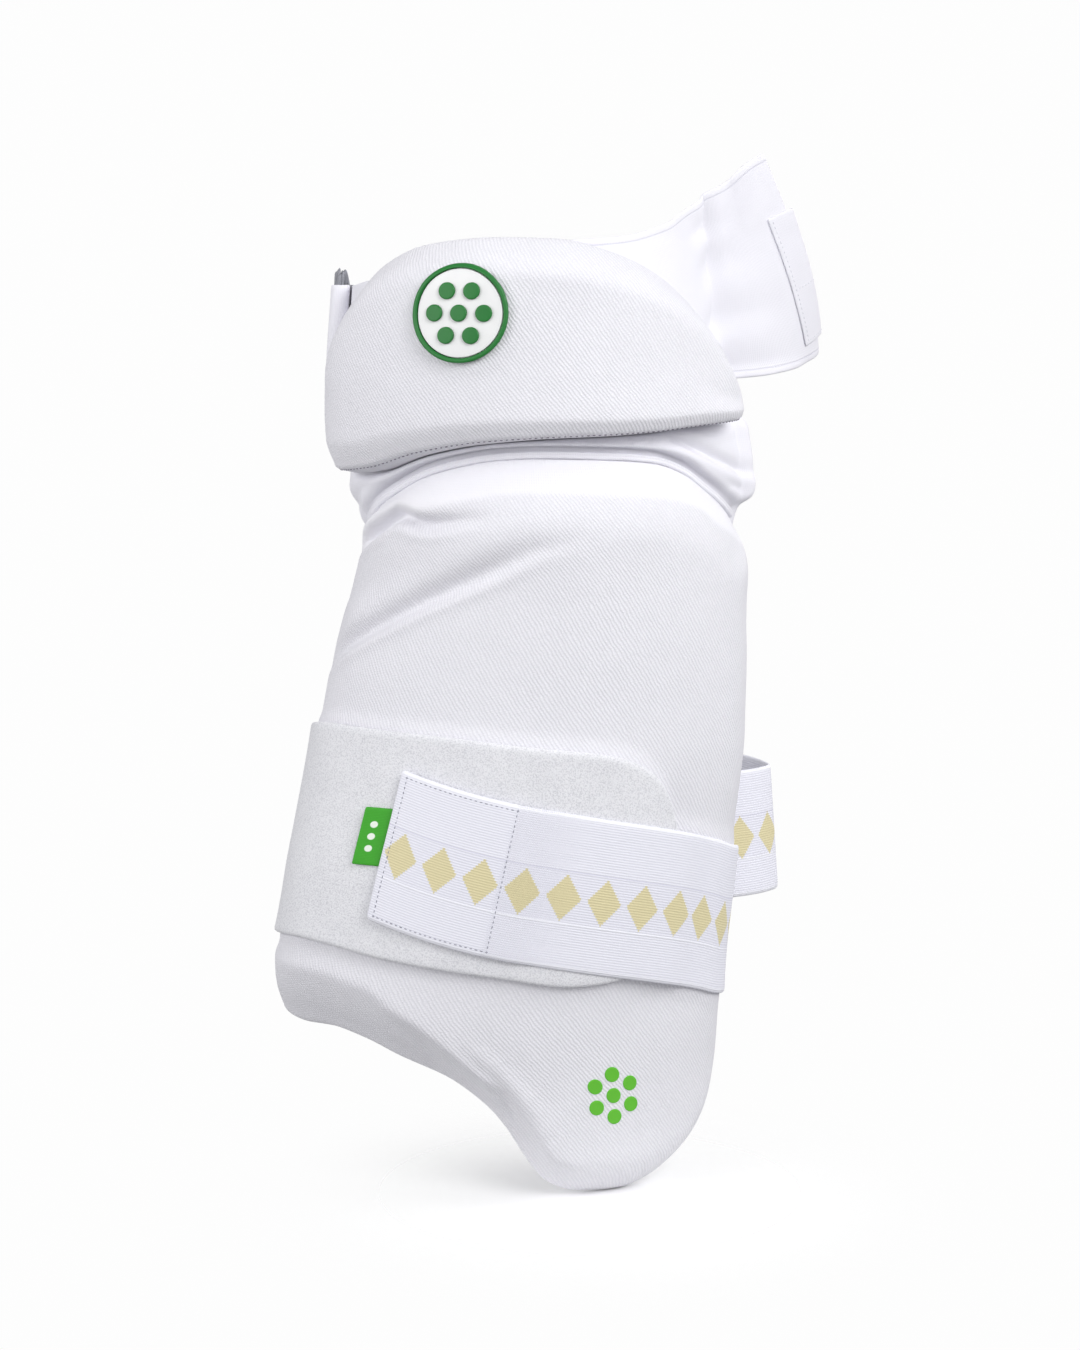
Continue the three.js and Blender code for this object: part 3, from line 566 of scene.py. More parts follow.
# Its main colour and the painted shade colour of its grooves, and its wales and courses in metres.
jersey = (colour(240, 239, 245), colour(215, 214, 224), 0.0009, 0.0012)
webbing = {"front": 0.078, "back": 0.069}  # the straps' widths
beltHemWidth = 0.0036
materials = {
    "padCloth": makePadCloth(),
    "lining": makeKnit("lining", colour(233, 233, 237), colour(202, 202, 210), 0.0017, 0.002, 0.0003),
    "jersey": makeKnit("jersey", *jersey, 0.00014),
    "beltJersey": makeKnit("beltJersey", *jersey, 0.00014, hem=beltHemWidth),
    # A grey copy of the jersey: painted shade for the inside of the back belt's roll.
    "rollShadeJersey": makeKnit("rollShadeJersey", colour(150, 151, 158), colour(96, 97, 104), *jersey[2:], 0.0002),
    "loopPile": makeLoopPile(),
    "frontElastic": makeElastic("frontElastic", webbing["front"], 0.0635, 0.112),
    "backElastic": makeElastic("backElastic", webbing["back"], 9.0, 9.1),  # speckled nowhere
    "hookTape": makeHookTape(),
    "label": makeLabelCloth(),
    "whiteRubber": makeRubber("whiteRubber", colour(236, 236, 236), colour(224, 224, 226), 0.45),
    "greenRubber": makeRubber("greenRubber", colour(20, 118, 42), colour(14, 96, 34), 0.42),
    "greenPrint": makeRubber("greenPrint", colour(98, 190, 46), colour(88, 178, 40), 0.5),
    "thread": makeThread("thread", colour(233, 233, 240), colour(200, 200, 210)),
    "darkThread": makeThread("darkThread", colour(176, 176, 188), colour(140, 140, 152)),
    "seamThread": makeThread("seamThread", colour(150, 146, 158), colour(112, 108, 122)),
}
print("materials made")


def stitchTree():  # stitches along a piece's edges, for a modifier
    tree = bpy.data.node_groups.new("stitchRow", "GeometryNodeTree")
    face = tree.interface
    face.new_socket("Geometry", in_out="INPUT", socket_type="NodeSocketGeometry")
    for name in ("Spacing", "Length", "Thickness"):
        face.new_socket(name, in_out="INPUT", socket_type="NodeSocketFloat")
    face.new_socket("Thread", in_out="INPUT", socket_type="NodeSocketMaterial")
    face.new_socket("Geometry", in_out="OUTPUT", socket_type="NodeSocketGeometry")

    def add(kind, settings=(), links=()):
        made = tree.nodes.new(kind)
        for name, value in dict(settings).items():
            setattr(made, name, value)
        for name, value in dict(links).items():
            if isinstance(value, bpy.types.NodeSocket):
                tree.links.new(value, made.inputs[name])
            else:
                made.inputs[name].default_value = value
        return made

    given = add("NodeGroupInput").outputs
    line = add("GeometryNodeMeshToCurve", links={"Mesh": given["Geometry"]})
    spots = add("GeometryNodeCurveToPoints", {"mode": "LENGTH"},
                {"Curve": line.outputs["Curve"], "Length": given["Spacing"]})
    ball = add("GeometryNodeMeshUVSphere", links={"Segments": 6, "Rings": 4, "Radius": 0.5})
    size = add("ShaderNodeCombineXYZ",
               links={"X": given["Thickness"], "Y": given["Thickness"], "Z": given["Length"]})
    uneven = add("FunctionNodeRandomValue", {"data_type": "FLOAT"}, {2: 0.85, 3: 1.1, "Seed": 7})
    scale = add("ShaderNodeVectorMath", {"operation": "SCALE"},
                {0: size.outputs[0], "Scale": uneven.outputs[1]})
    rows = add("GeometryNodeInstanceOnPoints", links={
        "Points": spots.outputs["Points"], "Instance": ball.outputs["Mesh"],
        "Rotation": spots.outputs["Rotation"], "Scale": scale.outputs[0]})
    real = add("GeometryNodeRealizeInstances", links={"Geometry": rows.outputs[0]})
    smooth = add("GeometryNodeSetShadeSmooth", links={"Geometry": real.outputs[0]})
    painted = add("GeometryNodeSetMaterial",
                  links={"Geometry": smooth.outputs[0], "Material": given["Thread"]})
    add("NodeGroupOutput", links={"Geometry": painted.outputs[0]})
    return tree


stitch = {"spacing": 0.0031, "length": 0.0023, "thickness": 0.0007}
stitching = stitchTree()


def stitchRows(name, rows, thread="thread", slot="elastic", **sizes):
    points = np.concatenate(rows)
    starts = np.cumsum([0] + [len(row) for row in rows])
    edges = [(k, k + 1) for a, b in zip(starts[:-1], starts[1:]) for k in range(a, b - 1)]
    mesh = bpy.data.meshes.new(name)
    mesh.from_pydata(points.tolist(), edges, [])
    piece = addObject(name, mesh)
    modifier = piece.modifiers.new("stitches", "NODES")
    modifier.node_group = stitching
    given = {**stitch, **sizes}
    values = {"Spacing": given["spacing"], "Length": given["length"],
              "Thickness": given["thickness"], "Thread": materials[thread]}
    for item in stitching.interface.items_tree:
        if item.in_out == "INPUT" and item.name in values:
            modifier[item.identifier] = values[item.name]
    settle(piece)
    return dress(piece, slot)


# Pads. The foam's outer face is a lift off the leg. Its cover is a closed mesh that the cloth
# simulation fills a little, held at the seams and where other pieces lie on it.

thighPad = {
    "thickness": 0.026,
    "sideRound": 0.046,  # how far in from the side edges the foam reaches its full thickness
    "sideShare": 0.42,  # share of the thickness left at the side edges
    "footShare": 0.2,
    "lipShare": 0.12,
    "topRise": 0.040,
    "cornerRise": 0.024,
    "columns": 92,
    "rows": 100,
    "bevelRows": 8,
    "apron": 0.016,  # width of the plain band under its upper edge
    "slack": 0.0016,  # how much the cover is made smaller before it is filled
    "swell": 0.0040,  # the most that it may move
    "top": {
        "across": [-1, -0.97, -0.9, -0.76, -0.6, -0.45, -0.3, -0.15, 0, 0.3, 0.45, 0.57, 0.7, 0.85, 1],
        "level": [0.305, 0.326, 0.346, 0.367, 0.388, 0.407, 0.419, 0.4262, 0.4285, 0.4255, 0.4208,
                  0.4095, 0.3885, 0.3675, 0.35],
    },
    "foot": {
        "across": [-1, -0.96, -0.8, -0.6, -0.46, -0.32, -0.18, -0.08, 0, 0.08, 0.15, 0.26, 0.44, 0.6,
                   0.76, 0.92, 1],
        "level": [-0.186, -0.192, -0.193, -0.1905, -0.1985, -0.2165, -0.2345, -0.2585, -0.287, -0.329,
                  -0.356, -0.3695, -0.3725, -0.3645, -0.34, -0.288, -0.24],
    },
    "bevel": {  # how far up it reaches, square to the edge
        "across": [-1, -0.7, -0.4, -0.24, -0.09, 0, 0.12, 0.35, 1],
        "reach": [0.034, 0.033, 0.031, 0.027, 0.016, 0.013, 0.014, 0.024, 0.024],
    },
    "bevelUntil": 0.12,  # share across where the bevel begins to turn into a soft roll
    "rollFrom": 0.35,
}
# Soft folds pressed into its cover. A path's points are an angle and a share of the length, from
# left to right. The valley is as wide as upper above its line and lower below it, with a raised
# lip under it and a soft bulge over it. Fades are shares of the path.
foldColumns = ("path", "upper", "lower", "depth", "lip", "bulge", "fades")


def tableOf(columns, rows):
    return [dict(zip(columns, row)) for row in rows]


thighFolds = tableOf(foldColumns, [
    ([(-72, 0.186), (-63, 0.206), (-56, 0.2235), (-44.6, 0.2495), (-31.8, 0.2785), (-18.3, 0.306),
      (-4, 0.335), (16, 0.358)],
     0.0054, 0.0026, 0.0050, 0.0016, 0.0018, (0.08, 0.5)),
    ([(-70, 0.307), (-59.5, 0.332), (-52.8, 0.3455), (-47, 0.3565), (-41.5, 0.3655), (-38, 0.3635),
      (-35, 0.3600), (-29.7, 0.3590), (-19.6, 0.3655), (-6, 0.3780)],
     0.0038, 0.0024, 0.0094, 0.0014, 0.0028, (0.25, 0.6)),
    ([(-75, 0.262), (-62, 0.285), (-46, 0.303)],
     0.0075, 0.0050, 0.0020, 0.0008, 0.0008, (0.1, 0.6)),
    ([(-12, -0.196), (-6, -0.226), (2, -0.262)],
     0.0026, 0.0030, 0.0020, 0.0008, 0.0008, (0.3, 0.4)),
    ([(-8, -0.190), (0, -0.232), (6, -0.300)],
     0.0026, 0.0030, 0.0022, 0.0008, 0.0010, (0.3, 0.3)),
    ([(-1, -0.222), (5, -0.268), (10, -0.330)],
     0.0030, 0.0034, 0.0018, 0.0006, 0.0010, (0.3, 0.3)),
    ([(-24, -0.160), (-17, -0.186), (-12, -0.214)],
     0.0036, 0.0030, 0.0014, 0.0006, 0.0004, (0.4, 0.3)),
    ([(48, 0.300), (62, 0.335), (72, 0.350)],
     0.0090, 0.0070, 0.0016, 0.0006, 0.0006, (0.5, 0.3)),
])
# Raised places: the middle as angle and level, the half sizes, degrees of tilt, and the rise.
swellColumns = ("at", "across", "up", "tilt", "rise")
thighSwells = tableOf(swellColumns, [
    ((-58, 0.348), 0.026, 0.0075, 30, 0.0040),
    ((-30, 0.392), 0.024, 0.0080, 12, 0.0024),
    ((30, 0.392), 0.050, 0.0100, -6, 0.0018),
    ((60, 0.355), 0.020, 0.0110, -42, 0.0016),
])
hipPad = {
    "thickness": 0.025,
    "sideRound": 0.040,
    "sideShare": 0.42,
    "footShare": 0.66,
    "footRound": 0.0022,  # the last of the bevel turns in under the pad
    "roundShare": 0.36,
    "topShare": 0.3,
    "topRound": 0.020,
    "cornerRound": 0.016,
    "columns": 84,
    "rows": 38,
    "bevelRows": 8,
    "slack": 0.0012,
    "swell": 0.0034,
    "top": {
        "across": [-1, -0.97, -0.9, -0.8, -0.62, -0.42, -0.15, 0.1, 0.3, 0.5, 0.7, 0.86, 0.96, 1],
        "level": [0.46, 0.5, 0.55, 0.588, 0.63, 0.65, 0.658, 0.656, 0.643, 0.621, 0.581, 0.533, 0.509, 0.495],
    },
    "foot": {
        "across": [-1, -0.9, -0.66, -0.42, -0.2, 0, 0.4, 0.62, 0.8, 0.93, 1],
        "level": [0.41, 0.4065, 0.413, 0.4325, 0.4445, 0.4495, 0.4545, 0.4595, 0.4615, 0.463, 0.4685],
    },
    "bevel": {
        "across": [-1, -0.7, -0.4, -0.13, 0.2, 0.5, 1],
        "reach": [0.0165, 0.0155, 0.0130, 0.0115, 0.0095, 0.0085, 0.0065],
    },
}
hipFolds = tableOf(foldColumns, [
    ([(40, 0.500), (58, 0.487), (75, 0.470)],
     0.0060, 0.0050, 0.0014, 0.0006, 0.0006, (0.5, 0.2)),
    ([(-75, 0.560), (-66, 0.500), (-58, 0.460)],
     0.0060, 0.0060, 0.0010, 0.0004, 0.0004, (0.4, 0.4)),
])
hipSwells = tableOf(swellColumns, [
    ((-5, 0.628), 0.050, 0.0100, 0, 0.0012),
    ((58, 0.535), 0.026, 0.0100, -35, 0.0014),
])
thighTopEdge = edgeCurve(thighPad["top"])
thighFootEdge = edgeCurve(thighPad["foot"])
hipTopEdge = edgeCurve(hipPad["top"])
hipFootEdge = edgeCurve(hipPad["foot"])
thighBevelAt = curveThrough(thighPad["bevel"]["across"], thighPad["bevel"]["reach"])
hipBevelAt = curveThrough(hipPad["bevel"]["across"], hipPad["bevel"]["reach"])


def foldDepth(fold, angle, height):
    path = np.array([(a * metresPerDegree, level * leg["length"]) for a, level in fold["path"]])
    along = cumulative(path)
    away = np.full(np.shape(angle), 1e9)
    side = np.zeros(np.shape(angle))
    share = np.zeros(np.shape(angle))
    for start, end, passed in zip(path[:-1], path[1:], along[:-1]):
        way = end - start
        long = np.hypot(*way)
        x = angle * metresPerDegree - start[0]
        y = height - start[1]
        part = np.clip((x * way[0] + y * way[1]) / long**2, 0, 1)
        reach = np.hypot(x - part * way[0], y - part * way[1])
        near = reach < away
        away = np.where(near, reach, away)
        side = np.where(near, np.sign(y * way[0] - x * way[1]) * reach, side)
        share = np.where(near, (passed + part * long) / along[-1], share)
    begin, finish = fold["fades"]
    fade = smoothStep(share, 0, begin) * (1 - smoothStep(share, 1 - finish, 1))
    upper, lower = fold["upper"], fold["lower"]
    valley = np.exp(-((side / np.where(side > 0, upper, lower)) ** 2))
    lip = np.exp(-(((side + 2.1 * lower) / (1.2 * lower)) ** 2))
    bulge = np.exp(-(((side - 2.3 * upper) / (1.4 * upper)) ** 2))
    return fade * (fold["depth"] * valley - fold["lip"] * lip - fold["bulge"] * bulge)


def swellRise(swell, angle, height):
    x = (angle - swell["at"][0]) * metresPerDegree
    y = height - swell["at"][1] * leg["length"]
    tilt = math.radians(swell["tilt"])
    across = (x * math.cos(tilt) + y * math.sin(tilt)) / swell["across"]
    up = (y * math.cos(tilt) - x * math.sin(tilt)) / swell["up"]
    return swell["rise"] * np.exp(-(across**2) - up**2)


def sideCrown(pad, angle):
    return crowned(toSideEdge(angle), pad["sideRound"], pad["sideShare"])


def thighLift(angle, height):
    across = angle / leg["wrapAngle"]
    distance = distanceToEdge(thighFootEdge, angle, height)
    reach = thighBevelAt(across)
    roll = smoothStep(across, thighPad["bevelUntil"], thighPad["rollFrom"])
    flat = bevelled(distance, reach, thighPad["footShare"])
    fall = blendOf(flat, crowned(distance, reach, thighPad["footShare"]), roll)
    inFromSide = smoothStep(toSideEdge(angle), 0, thighPad["sideRound"])
    high = blendOf(thighPad["cornerRise"], thighPad["topRise"], inFromSide)
    rise = crowned(distanceToEdge(thighTopEdge, angle, height), high, thighPad["lipShare"])
    return thighPad["thickness"] * sideCrown(thighPad, angle) * rise * fall


def hipLift(angle, height):
    distance = distanceToEdge(hipFootEdge, angle, height)
    reach = hipBevelAt(angle / leg["wrapAngle"])
    foot = bevelled(distance, reach, hipPad["footShare"])
    foot = blendOf(foot, crowned(distance, reach, hipPad["footShare"]), 0.5)
    foot = foot * crowned(distance, hipPad["footRound"], hipPad["roundShare"])
    toCorner = np.hypot((leg["wrapAngle"] - angle) * metresPerDegree, distance) / hipPad["cornerRound"]
    foot = foot * (1 - 0.5 * np.exp(-(toCorner**2)))  # the lower right corner is rounded off
    top = crowned(distanceToEdge(hipTopEdge, angle, height), hipPad["topRound"], hipPad["topShare"])
    return hipPad["thickness"] * sideCrown(hipPad, angle) * top * foot


def padGrid(pad, topEdge, footEdge, bevelAt):  # angles and heights, with a row along the bevel's line
    angle = np.linspace(-leg["wrapAngle"], leg["wrapAngle"], pad["columns"] + 1)[:, None]
    top = topEdge(angle)
    foot = footEdge(angle)
    line = foot + bevelAt(angle / leg["wrapAngle"]) * steepness(footEdge, angle)
    down = np.linspace(0, 1, pad["rows"] + 1)[None, :]
    down = blendOf(down, 1 - np.cos(down * np.pi / 2), 0.5)
    under = np.linspace(0, 1, pad["bevelRows"] + 1)[None, 1:]
    height = np.concatenate([blendOf(top, line, down), blendOf(line, foot, under)], axis=1)
    return np.broadcast_to(angle, height.shape), height


def shellMesh(name, outer, inner, places, finishes, wallRows=3, bulge=0.0012):
    columns, rows = outer.shape[0] - 1, outer.shape[1] - 1
    count = outer.shape[0] * outer.shape[1]
    quads = gridQuads(columns, rows)
    index = np.arange(count).reshape(columns + 1, rows + 1)
    loop = np.concatenate([index[:-1, 0], index[-1, :-1], index[:0:-1, -1], index[0, :0:-1]])
    inward = np.zeros(outer.shape)
    inward[0] += outer[1] - outer[0]
    inward[-1] += outer[-2] - outer[-1]
    inward[:, 0] += unit(outer[:, 1] - outer[:, 0])
    inward[:, -1] += unit(outer[:, -2] - outer[:, -1])
    inward = unit(inward).reshape(-1, 3)
    faced = np.concatenate([outer.reshape(-1, 3), inner.reshape(-1, 3)])
    points = [faced]
    places = places.reshape(-1, 2)
    laid = [places, places]
    rings = [loop]
    for k in range(1, wallRows):
        share = k / wallRows
        out = inward[loop] * bulge * math.sin(math.pi * share)
        rings.append(2 * count + (k - 1) * len(loop) + np.arange(len(loop)))
        points.append(blendOf(faced[loop], faced[loop + count], share) - out)
        laid.append(places[loop])
    rings.append(loop + count)
    walls = [np.stack([a, np.roll(a, -1), np.roll(b, -1), b], axis=1) for a, b in zip(rings[:-1], rings[1:])]
    faces = np.concatenate([quads, quads[:, ::-1] + count, *walls])
    innerFaces = np.zeros(len(faces), np.int32)
    innerFaces[len(quads):2 * len(quads)] = 1
    return meshPiece(name, np.concatenate(points), faces, np.concatenate(laid), finishes, innerFaces), count


filling = {"pressure": 4, "quality": 4, "tension": 25, "compression": 8, "bending": 1.5}


def fillCover(piece, held, swell):  # cloth simulation under a light pressure
    rest = pointsOf(piece)
    group = piece.vertex_groups.new(name="held")
    for k, weight in enumerate(held):
        if weight > 0:
            group.add([k], float(weight), "REPLACE")
    modifier = piece.modifiers.new("cloth", "CLOTH")
    cloth = modifier.settings
    cloth.vertex_group_mass = "held"
    cloth.use_pressure = True
    cloth.uniform_pressure_force = filling["pressure"]
    cloth.quality = filling["quality"]
    cloth.tension_stiffness = filling["tension"]
    cloth.compression_stiffness = filling["compression"]
    cloth.bending_stiffness = filling["bending"]
    cloth.effector_weights.gravity = 0
    modifier.point_cache.frame_start = 1
    modifier.point_cache.frame_end = 20
    for step in range(1, 21):
        bpy.context.scene.frame_set(step)
    evaluated = piece.evaluated_get(bpy.context.evaluated_depsgraph_get())
    moved = pointsOf(evaluated) - rest
    piece.modifiers.remove(modifier)
    piece.vertex_groups.remove(group)
    bpy.context.scene.frame_set(1)
    far = np.linalg.norm(moved, axis=1, keepdims=True)
    print(f"{piece.name}: filled, most movement {far.max() * 1000:.1f} mm")
    return moved * np.minimum(1, swell / np.maximum(far, 1e-9))


def makePad(name, pad, edges, bevelAt, lift, folds, swells, room, finishes):
    topEdge, footEdge = edges
    angle, height = padGrid(pad, topEdge, footEdge, bevelAt)
    free = room(angle, height)
    pressed = sum(foldDepth(fold, angle, height) for fold in folds)
    pressed = pressed - sum(swellRise(swell, angle, height) for swell in swells)
    pressed = pressed * (1 - 0.85 * smoothStep(np.abs(angle), 54, 70))
    depth = lift(angle, height) - (pressed + pad["slack"]) * free
    toEdge = np.minimum(np.abs(height - topEdge(angle)), np.abs(height - footEdge(angle)))
    toEdge = np.minimum(toEdge, toSideEdge(angle))
    depth = blendOf(lift(angle, height), depth, smoothStep(toEdge, 0, 0.006))
    outer = pointOnLeg(angle, height, depth)
    inner = pointOnLeg(angle, height, 0 * depth)
    piece, count = shellMesh(name, outer, inner, placesOnLeg(angle, height), finishes)
    held = np.ones(len(piece.data.vertices))
    firm = np.zeros(angle.shape)
    firm[0] = firm[-1] = 1
    firm[:, 0] = firm[:, -1] = 1
    line = footEdge(angle) + bevelAt(angle / leg["wrapAngle"]) * steepness(footEdge, angle)
    crisp = np.exp(-(((height - line) / 0.003) ** 2)) * (angle / leg["wrapAngle"] < 0.15)
    firm = np.maximum(np.maximum(firm, 0.7 * crisp), np.clip(pressed / 0.002, 0, 1) * 0.8)
    held[:count] = np.clip(firm + 0.9 * (1 - free), 0, 1).ravel()
    moved = fillCover(piece, held, pad["swell"])
    moved[:count] *= (0.06 + 0.94 * free).reshape(-1, 1)
    movePoints(piece, pointsOf(piece) + moved)
    return piece


wrap = {
    "angle": [-165, -140, -110, -80, -65, -50, -25, 0, 18, 26, 32, 37.5],
    "top": [0.068, 0.083, 0.106, 0.121, 0.137, 0.145, 0.143, 0.133, 0.1225, 0.109, 0.086, 0.035],
    "foot": [-0.08, -0.09, -0.101, -0.108, -0.096, -0.089, -0.1, -0.114, -0.126, -0.124, -0.112, -0.07],
    "thickness": 0.003,
    "backLift": 0.0035,
    "columns": 118,
    "rows": 30,
}
wrapTopAt = curveThrough(wrap["angle"], wrap["top"])
wrapFootAt = curveThrough(wrap["angle"], wrap["foot"])

frontStrap = {
    "angle": [-36, -14, 0, 19, 38, 50, 60, 80],
    "level": [0.034, 0.0055, -0.0098, -0.0275, -0.047, -0.0625, -0.077, -0.094],
    "width": webbing["front"],
    "thickness": 0.0018,
    "fall": 0.2,
    "from": -30,
    "lean": 3,  # degrees between the free end's corners
    "turnsFrom": 75,
    "turnSlack": 2.5,
    "turnAngle": [75, 76.9, 77.8, 77.2, 75.8, 73, 66],
    "turnReach": [1, 0.92, 0.5, 0.14, -0.1, -0.16, -0.16],
    "columns": 84,
    "turnColumns": 24,
    "rows": 16,
}
strapLevelAt = curveThrough(frontStrap["angle"], frontStrap["level"])
hookPatch = {"span": 28, "inset": 0.0015, "thickness": 0.0016}
clearance = 0.0004


def strapHeight(angle, down, width):
    tall = width * math.hypot(1, frontStrap["fall"])
    return strapLevelAt(angle) * leg["length"] + (0.5 - down) * tall


def within(x, low, high, soft):  # 1 between two values, with soft ends outside them
    return smoothStep(x, low - soft, low) * (1 - smoothStep(x, high, high + soft))


def thighRoom(angle, height):  # 1 where the cover is free, 0 under the wrap and the strap
    level = height / leg["length"]
    soft = 0.006 / leg["length"]
    underWrap = within(level, wrapFootAt(angle), wrapTopAt(angle), soft) * (1 - smoothStep(angle, 38, 44))
    away = np.abs(height - strapLevelAt(angle) * leg["length"])
    underStrap = (1 - smoothStep(away, 0.041, 0.047)) * smoothStep(angle, -36, -30)
    return 1 - np.maximum(underWrap, underStrap)


badge = {
    "angle": -16.8,
    "level": 0.5815,
    "diameter": 0.049,
    "rimWidth": 0.0023,
    "rimHeight": 0.0032,
    "thickness": 0.0022,
    "stud": 0.0084,
    "spacing": 0.0126,
    "studHeight": 0.0014,
    "around": 6,
}
badgePerDegree = math.radians(1) * (leg["hollowWidth"] * 0.46 + hipPad["thickness"])


def hipRoom(angle, height):
    across = (angle - badge["angle"]) * badgePerDegree
    away = np.hypot(across, height - badge["level"] * leg["length"])
    return smoothStep(away, badge["diameter"] / 2 + 0.001, badge["diameter"] / 2 + 0.010)


def giveAttribute(piece, name, valueOf):  # a number for each point, from its place on the leg
    places = np.zeros(len(piece.data.loops) * 2, np.float32)
    piece.data.uv_layers["weave"].data.foreach_get("uv", places)
    corners = np.zeros(len(piece.data.loops), np.int32)
    piece.data.loops.foreach_get("vertex_index", corners)
    at = np.zeros((len(piece.data.vertices), 2))
    at[corners] = places.reshape(-1, 2)
    values = valueOf(at[:, 0] / metresPerDegree, at[:, 1])
    attribute = piece.data.attributes.new(name, "FLOAT", "POINT")
    attribute.data.foreach_set("value", values.astype(np.float32))


def soften(piece, size, depth):  # the slight unevenness of a cover on foam
    points = pointsOf(piece)
    normals = np.array([vertex.normal for vertex in piece.data.vertices])
    rise = roughen(points, size, depth) + roughen(points, size / 3, depth / 4)
    movePoints(piece, points + normals * rise[:, None])


padFinishes = [materials["padCloth"], materials["lining"]]
thighCover = makePad("thighCover", thighPad, (thighTopEdge, thighFootEdge), thighBevelAt, thighLift,
                     thighFolds, thighSwells, thighRoom, padFinishes)
subdivide(thighCover)
giveAttribute(thighCover, "apron", lambda angle, height: 1 - smoothStep(
    distanceToEdge(thighTopEdge, angle, height), thighPad["apron"] - 0.002, thighPad["apron"] + 0.002))
soften(thighCover, 0.035, 0.0005)
dress(thighCover, "pad_cloth", "thigh_pad")

hipCover = makePad("hipCover", hipPad, (hipTopEdge, hipFootEdge), hipBevelAt, hipLift, hipFolds,
                   hipSwells, hipRoom, padFinishes)
subdivide(hipCover)
giveAttribute(hipCover, "apron", lambda angle, height: 0 * angle)
soften(hipCover, 0.035, 0.0004)
dress(hipCover, "pad_cloth", "hip_pad")
print("pads made")


def surfaceOf(piece):
    points = [vertex.co[:] for vertex in piece.data.vertices]
    return BVHTree.FromPolygons(points, [face.vertices[:] for face in piece.data.polygons])


def layOn(tree, points, outward, off):  # drops points along their way out onto a surface
    laid = []
    for point, way, rise in zip(points.reshape(-1, 3), outward.reshape(-1, 3), np.ravel(off)):
        hit, _, _, _ = tree.ray_cast(Vector(point + way * 0.03), Vector(-way), 0.06)
        laid.append(np.array(hit if hit is not None else point) + way * rise)
    return np.array(laid).reshape(points.shape)


# The piping along the thigh pad's upper edge: a folded binding with a groove along it.
piping = {"diameter": 0.0037, "room": 0.0044, "reach": 73.2, "steps": 150, "sides": 20, "groove": 0.0009}


def makePiping():
    radius = piping["diameter"] / 2
    angle = np.linspace(-piping["reach"], piping["reach"], piping["steps"] + 1)[:, None]
    slope = (thighTopEdge(angle + 1) - thighTopEdge(angle - 1)) / (2 * metresPerDegree)
    steep = np.hypot(1, slope)
    rise = radius + reliefGap / 2
    middleAngle = angle - rise * slope / steep / metresPerDegree
    middleHeight = thighTopEdge(angle) + rise / steep
    turn = np.linspace(0, 2 * np.pi, piping["sides"], endpoint=False)[None, :]
    dip = np.exp(-(((turn - np.pi / 2 + 0.15) / 0.3) ** 2)) * piping["groove"]
    ends = 1 - 0.6 * np.clip((np.abs(angle) - piping["reach"] + 1.2) / 1.2, 0, 1) ** 2
    size = (radius - dip) * ends
    up = size * np.cos(turn)
    points = pointOnLeg(
        middleAngle - up * slope / steep / metresPerDegree,
        middleHeight + up / steep,
        radius + size * np.sin(turn) * (1 + 0 * angle),
    )
    sides = piping["sides"]
    faces = []
    for i in range(piping["steps"]):
        for k in range(sides):
            after = (k + 1) % sides
            faces.append([i * sides + k, i * sides + after, (i + 1) * sides + after, (i + 1) * sides + k])
    faces.append(list(range(sides))[::-1])
    faces.append([piping["steps"] * sides + k for k in range(sides)])
    along = np.broadcast_to(angle * metresPerDegree, size.shape)
    places = np.stack([along, up], axis=-1).reshape(-1, 2)
    piece = meshPiece("padPiping", points.reshape(-1, 3), faces, places, [materials["jersey"]])
    dress(piece, "jersey", "pad_piping")


makePiping()

# The stretch panel between the pads, tucked flat behind both and loose between them.
panel = {
    "reach": 82.5,
    "thickness": 0.0018,
    "tuckUp": 0.031,
    "tuckDown": 0.065,
    "start": 0.0012,
    "leftBulge": 0.0012,
    "middleBulge": 0.0058,
    "rightBulge": 0.0064,
    "besidePad": 0.0062,  # how far it stands out beside the hip pad's right edge
    "besideFrom": (75.6, 80.5),
    "squareFrom": (-24, 6),  # right of these angles it stands out squarely under the pads' edges
    "ledge": 0.16,  # the share of its height over which it does so at the top
    "ledgeTop": 0.55,
    "ledgeEnd": 0.88,
    "gather": 0.00022,
    "columns": 150,
    "tuckRows": 4,
    "looseRows": 22,
}
panelFolds = tableOf(foldColumns, [
    ([(37, 0.4500), (42.4, 0.4450), (47.1, 0.4380), (52.7, 0.4305), (59.4, 0.4215), (67.3, 0.413),
      (75, 0.4055), (84, 0.402)],
     0.0036, 0.0024, 0.0044, 0.0016, 0.0010, (0.1, 0.2)),
    ([(53, 0.4485), (59.7, 0.4493), (66.6, 0.4522), (74, 0.4570)],
     0.0014, 0.0014, 0.0022, 0.0010, 0.0006, (0.3, 0.3)),
    ([(60, 0.394), (70, 0.391), (80, 0.380)],
     0.0040, 0.0030, 0.0016, 0.0010, 0.0008, (0.4, 0.3)),
    ([(-84, 0.362), (-66, 0.388), (-48, 0.402)],
     0.0040, 0.0036, 0.0022, 0.0012, 0.0008, (0.1, 0.5)),
    ([(24, 0.436), (25.5, 0.450)],
     0.0012, 0.0012, 0.0010, 0.0004, 0.0004, (0.3, 0.3)),
    ([(32, 0.434), (33.5, 0.452)],
     0.0014, 0.0014, 0.0012, 0.0005, 0.0005, (0.3, 0.3)),
])


